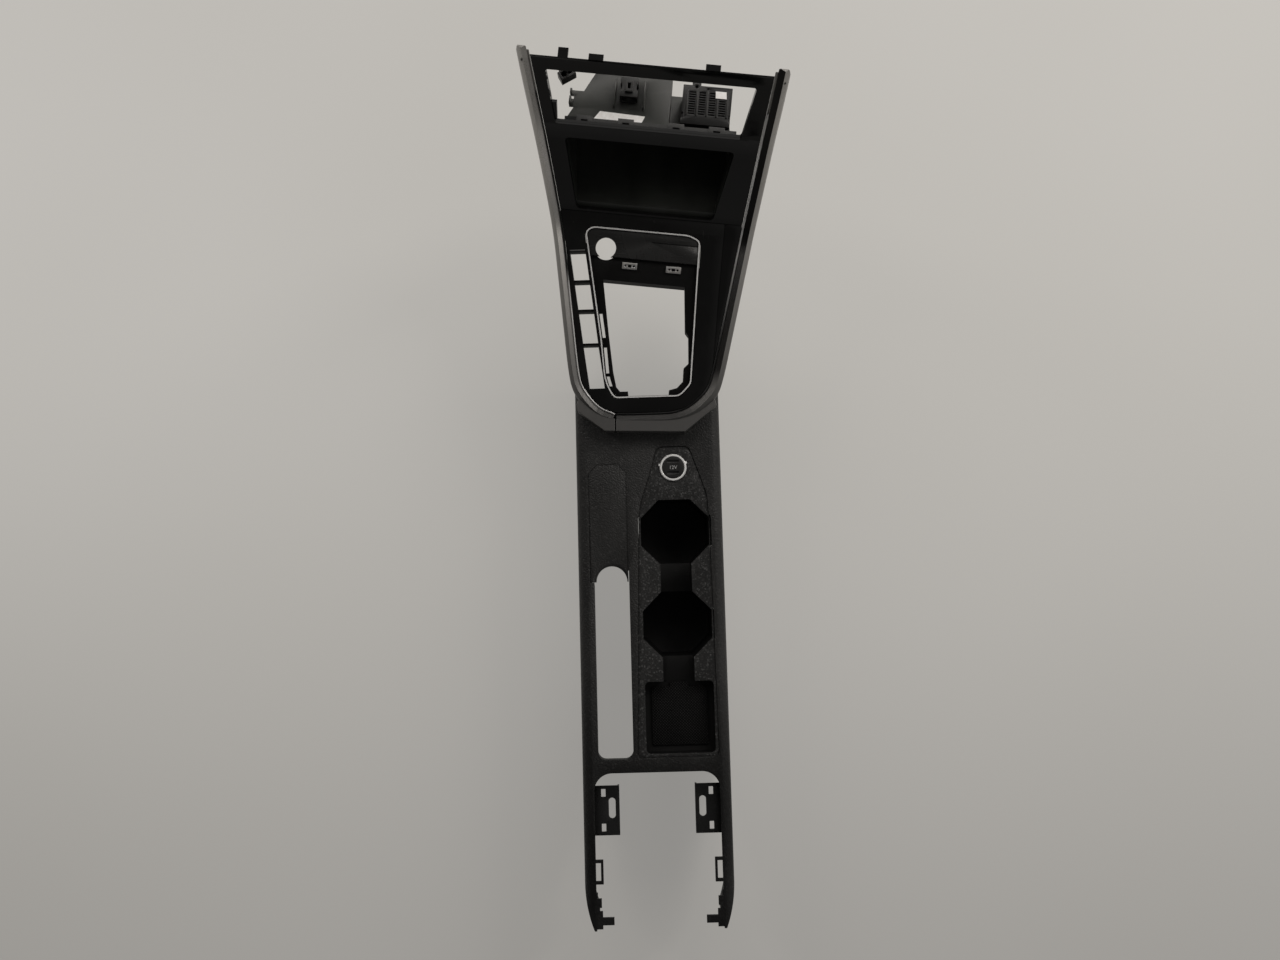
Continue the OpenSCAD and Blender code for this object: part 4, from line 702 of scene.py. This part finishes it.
def add_cap_mark():
    """The voltage in small raised letters on the socket cap, which they ride on."""
    low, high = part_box("socket_cap")
    middle = (low + high) / 2
    curve = bpy.data.curves.new("cap_mark_text", "FONT")
    curve.body = "12V"
    curve.size = MARK_SIZE
    curve.align_x = "CENTER"
    curve.align_y = "CENTER"
    curve.extrude = MARK_THICK
    curve.resolution_u = 3
    drawn = bpy.data.objects.new("cap_mark_text", curve)
    scene.collection.objects.link(drawn)
    mesh = bpy.data.meshes.new_from_object(drawn.evaluated_get(bpy.context.evaluated_depsgraph_get()))
    bpy.data.objects.remove(drawn)
    mesh.name = "cap_mark"
    mesh.materials.clear()
    mesh.materials.append(print_grey("mark_print"))
    mark = bpy.data.objects.new("cap_mark", mesh)
    mark.location = (middle.x, middle.y, high.z + MARK_LIFT)
    scene.collection.objects.link(mark)
    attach(mark, "cap")


dress_nodes()
trim_flange()
add_labels()
add_module_board()
add_bow()
add_cap_mark()

# Stage: the half side of the floor, how far below the part it lies, and where along Y painted shade makes it
# darker
FLOOR_HALF = 7.0
FLOOR_DROP = 0.001
FLOOR_SHADE = (-0.7, 0.3)


def make_stage():
    """A plain pale floor with painted shade that makes it a little darker to the rear, that lights the part
    softly from below.
    """
    size = FLOOR_HALF
    corners = [(-size, -size, 0), (size, -size, 0), (size, size, 0), (-size, size, 0)]
    mesh = bpy.data.meshes.new("floor")
    mesh.from_pydata(corners, [], [(0, 1, 2, 3)])
    floor = bpy.data.objects.new("floor", mesh)
    floor.location.z = -FLOOR_DROP
    scene.collection.objects.link(floor)
    s = Shader("pale_floor")
    s.tree.nodes.remove(s.surface)
    tint = s.mix(s.fit(s.noise(0.8, 2.0), 0.3, 0.7), (0.52, 0.505, 0.475, 1.0), (0.58, 0.565, 0.54, 1.0))
    # Painted shade: the floor grows darker to the rear.
    tint = s.shade(tint, s.fit(s.axis("Y"), *FLOOR_SHADE, 0.62, 1.0, smooth=True))
    lit = s.node("BsdfDiffuse", Color=tint)
    seen = s.node("BsdfDiffuse", Color=(0.20, 0.195, 0.185, 1.0))
    glow = s.node("Emission", Color=tint, Strength=0.62)
    both = s.tree.nodes.new("ShaderNodeAddShader")
    s.link(seen.outputs[0], both.inputs[0])
    s.link(glow.outputs[0], both.inputs[1])
    path = s.tree.nodes.new("ShaderNodeLightPath").outputs
    direct = s.math("MAXIMUM", path["Is Camera Ray"], path["Is Glossy Ray"])
    direct = s.math("MAXIMUM", direct, path["Is Transmission Ray"])
    choose = s.tree.nodes.new("ShaderNodeMixShader")
    s.link(direct, choose.inputs[0])
    s.link(lit.outputs[0], choose.inputs[1])
    s.link(both.outputs[0], choose.inputs[2])
    s.link(choose.outputs[0], s.out.inputs["Surface"])
    mesh.materials.append(s.material)


# Room: how the light leans along X and Y, the span of heights it fades over, and its strength at both ends
LEAN_X = -0.55
LEAN_Y = -0.3
ROOM_SPAN = (0.0, 0.95)
ROOM_LIGHT = (0.66, 0.12)


def make_world():
    """A room that is lighter low down and to the right and front, and darker overhead and to the left."""
    world = bpy.data.worlds.new("room")
    scene.world = world
    world.use_nodes = True
    tree = world.node_tree
    tree.nodes.clear()
    link = tree.links.new
    split = tree.nodes.new("ShaderNodeSeparateXYZ")
    link(tree.nodes.new("ShaderNodeTexCoord").outputs["Generated"], split.inputs[0])

    def lean(axis, share, rest):
        """Adds that share of an axis to the rest."""
        made = tree.nodes.new("ShaderNodeMath")
        made.operation = "MULTIPLY_ADD"
        made.inputs[1].default_value = share
        link(split.outputs[axis], made.inputs[0])
        link(rest, made.inputs[2])
        return made.outputs[0]

    ramp = tree.nodes.new("ShaderNodeMapRange")
    link(lean("Y", LEAN_Y, lean("X", LEAN_X, split.outputs["Z"])), ramp.inputs["Value"])
    ramp.inputs["From Min"].default_value, ramp.inputs["From Max"].default_value = ROOM_SPAN
    ramp.inputs["To Min"].default_value, ramp.inputs["To Max"].default_value = ROOM_LIGHT
    light = tree.nodes.new("ShaderNodeBackground")
    light.inputs["Color"].default_value = (1.0, 0.975, 0.94, 1.0)
    link(ramp.outputs["Result"], light.inputs["Strength"])
    seen = tree.nodes.new("ShaderNodeBackground")
    seen.inputs["Color"].default_value = (0.53, 0.515, 0.49, 1.0)
    path = tree.nodes.new("ShaderNodeLightPath")
    choose = tree.nodes.new("ShaderNodeMixShader")
    end = tree.nodes.new("ShaderNodeOutputWorld")
    link(path.outputs["Is Camera Ray"], choose.inputs[0])
    link(light.outputs[0], choose.inputs[1])
    link(seen.outputs[0], choose.inputs[2])
    link(choose.outputs[0], end.inputs["Surface"])


def lamp(name, place, aim, size, power):
    """A warm rectangular area lamp that faces its aim; power is in watts."""
    data = bpy.data.lights.new(name, "AREA")
    data.shape = "RECTANGLE"
    data.size, data.size_y = size
    data.energy = power
    data.color = (1.0, 0.96, 0.91)
    obj = bpy.data.objects.new(name, data)
    obj.location = place
    obj.rotation_mode = "QUATERNION"
    obj.rotation_quaternion = (Vector(aim) - Vector(place)).to_track_quat("-Z", "Y")
    scene.collection.objects.link(obj)


make_stage()
make_world()
lamp("lamp_left", (-1.4, 1.0, 1.3), (0.0, 0.1, 0.1), (0.5, 1.2), 9.0)
lamp("lamp_right", (1.4, 1.1, 1.3), (0.0, 0.1, 0.1), (0.5, 1.2), 19.0)
lamp("lamp_top", (0.2, 1.7, 1.7), (0.0, 0.2, 0.1), (1.4, 0.5), 12.0)
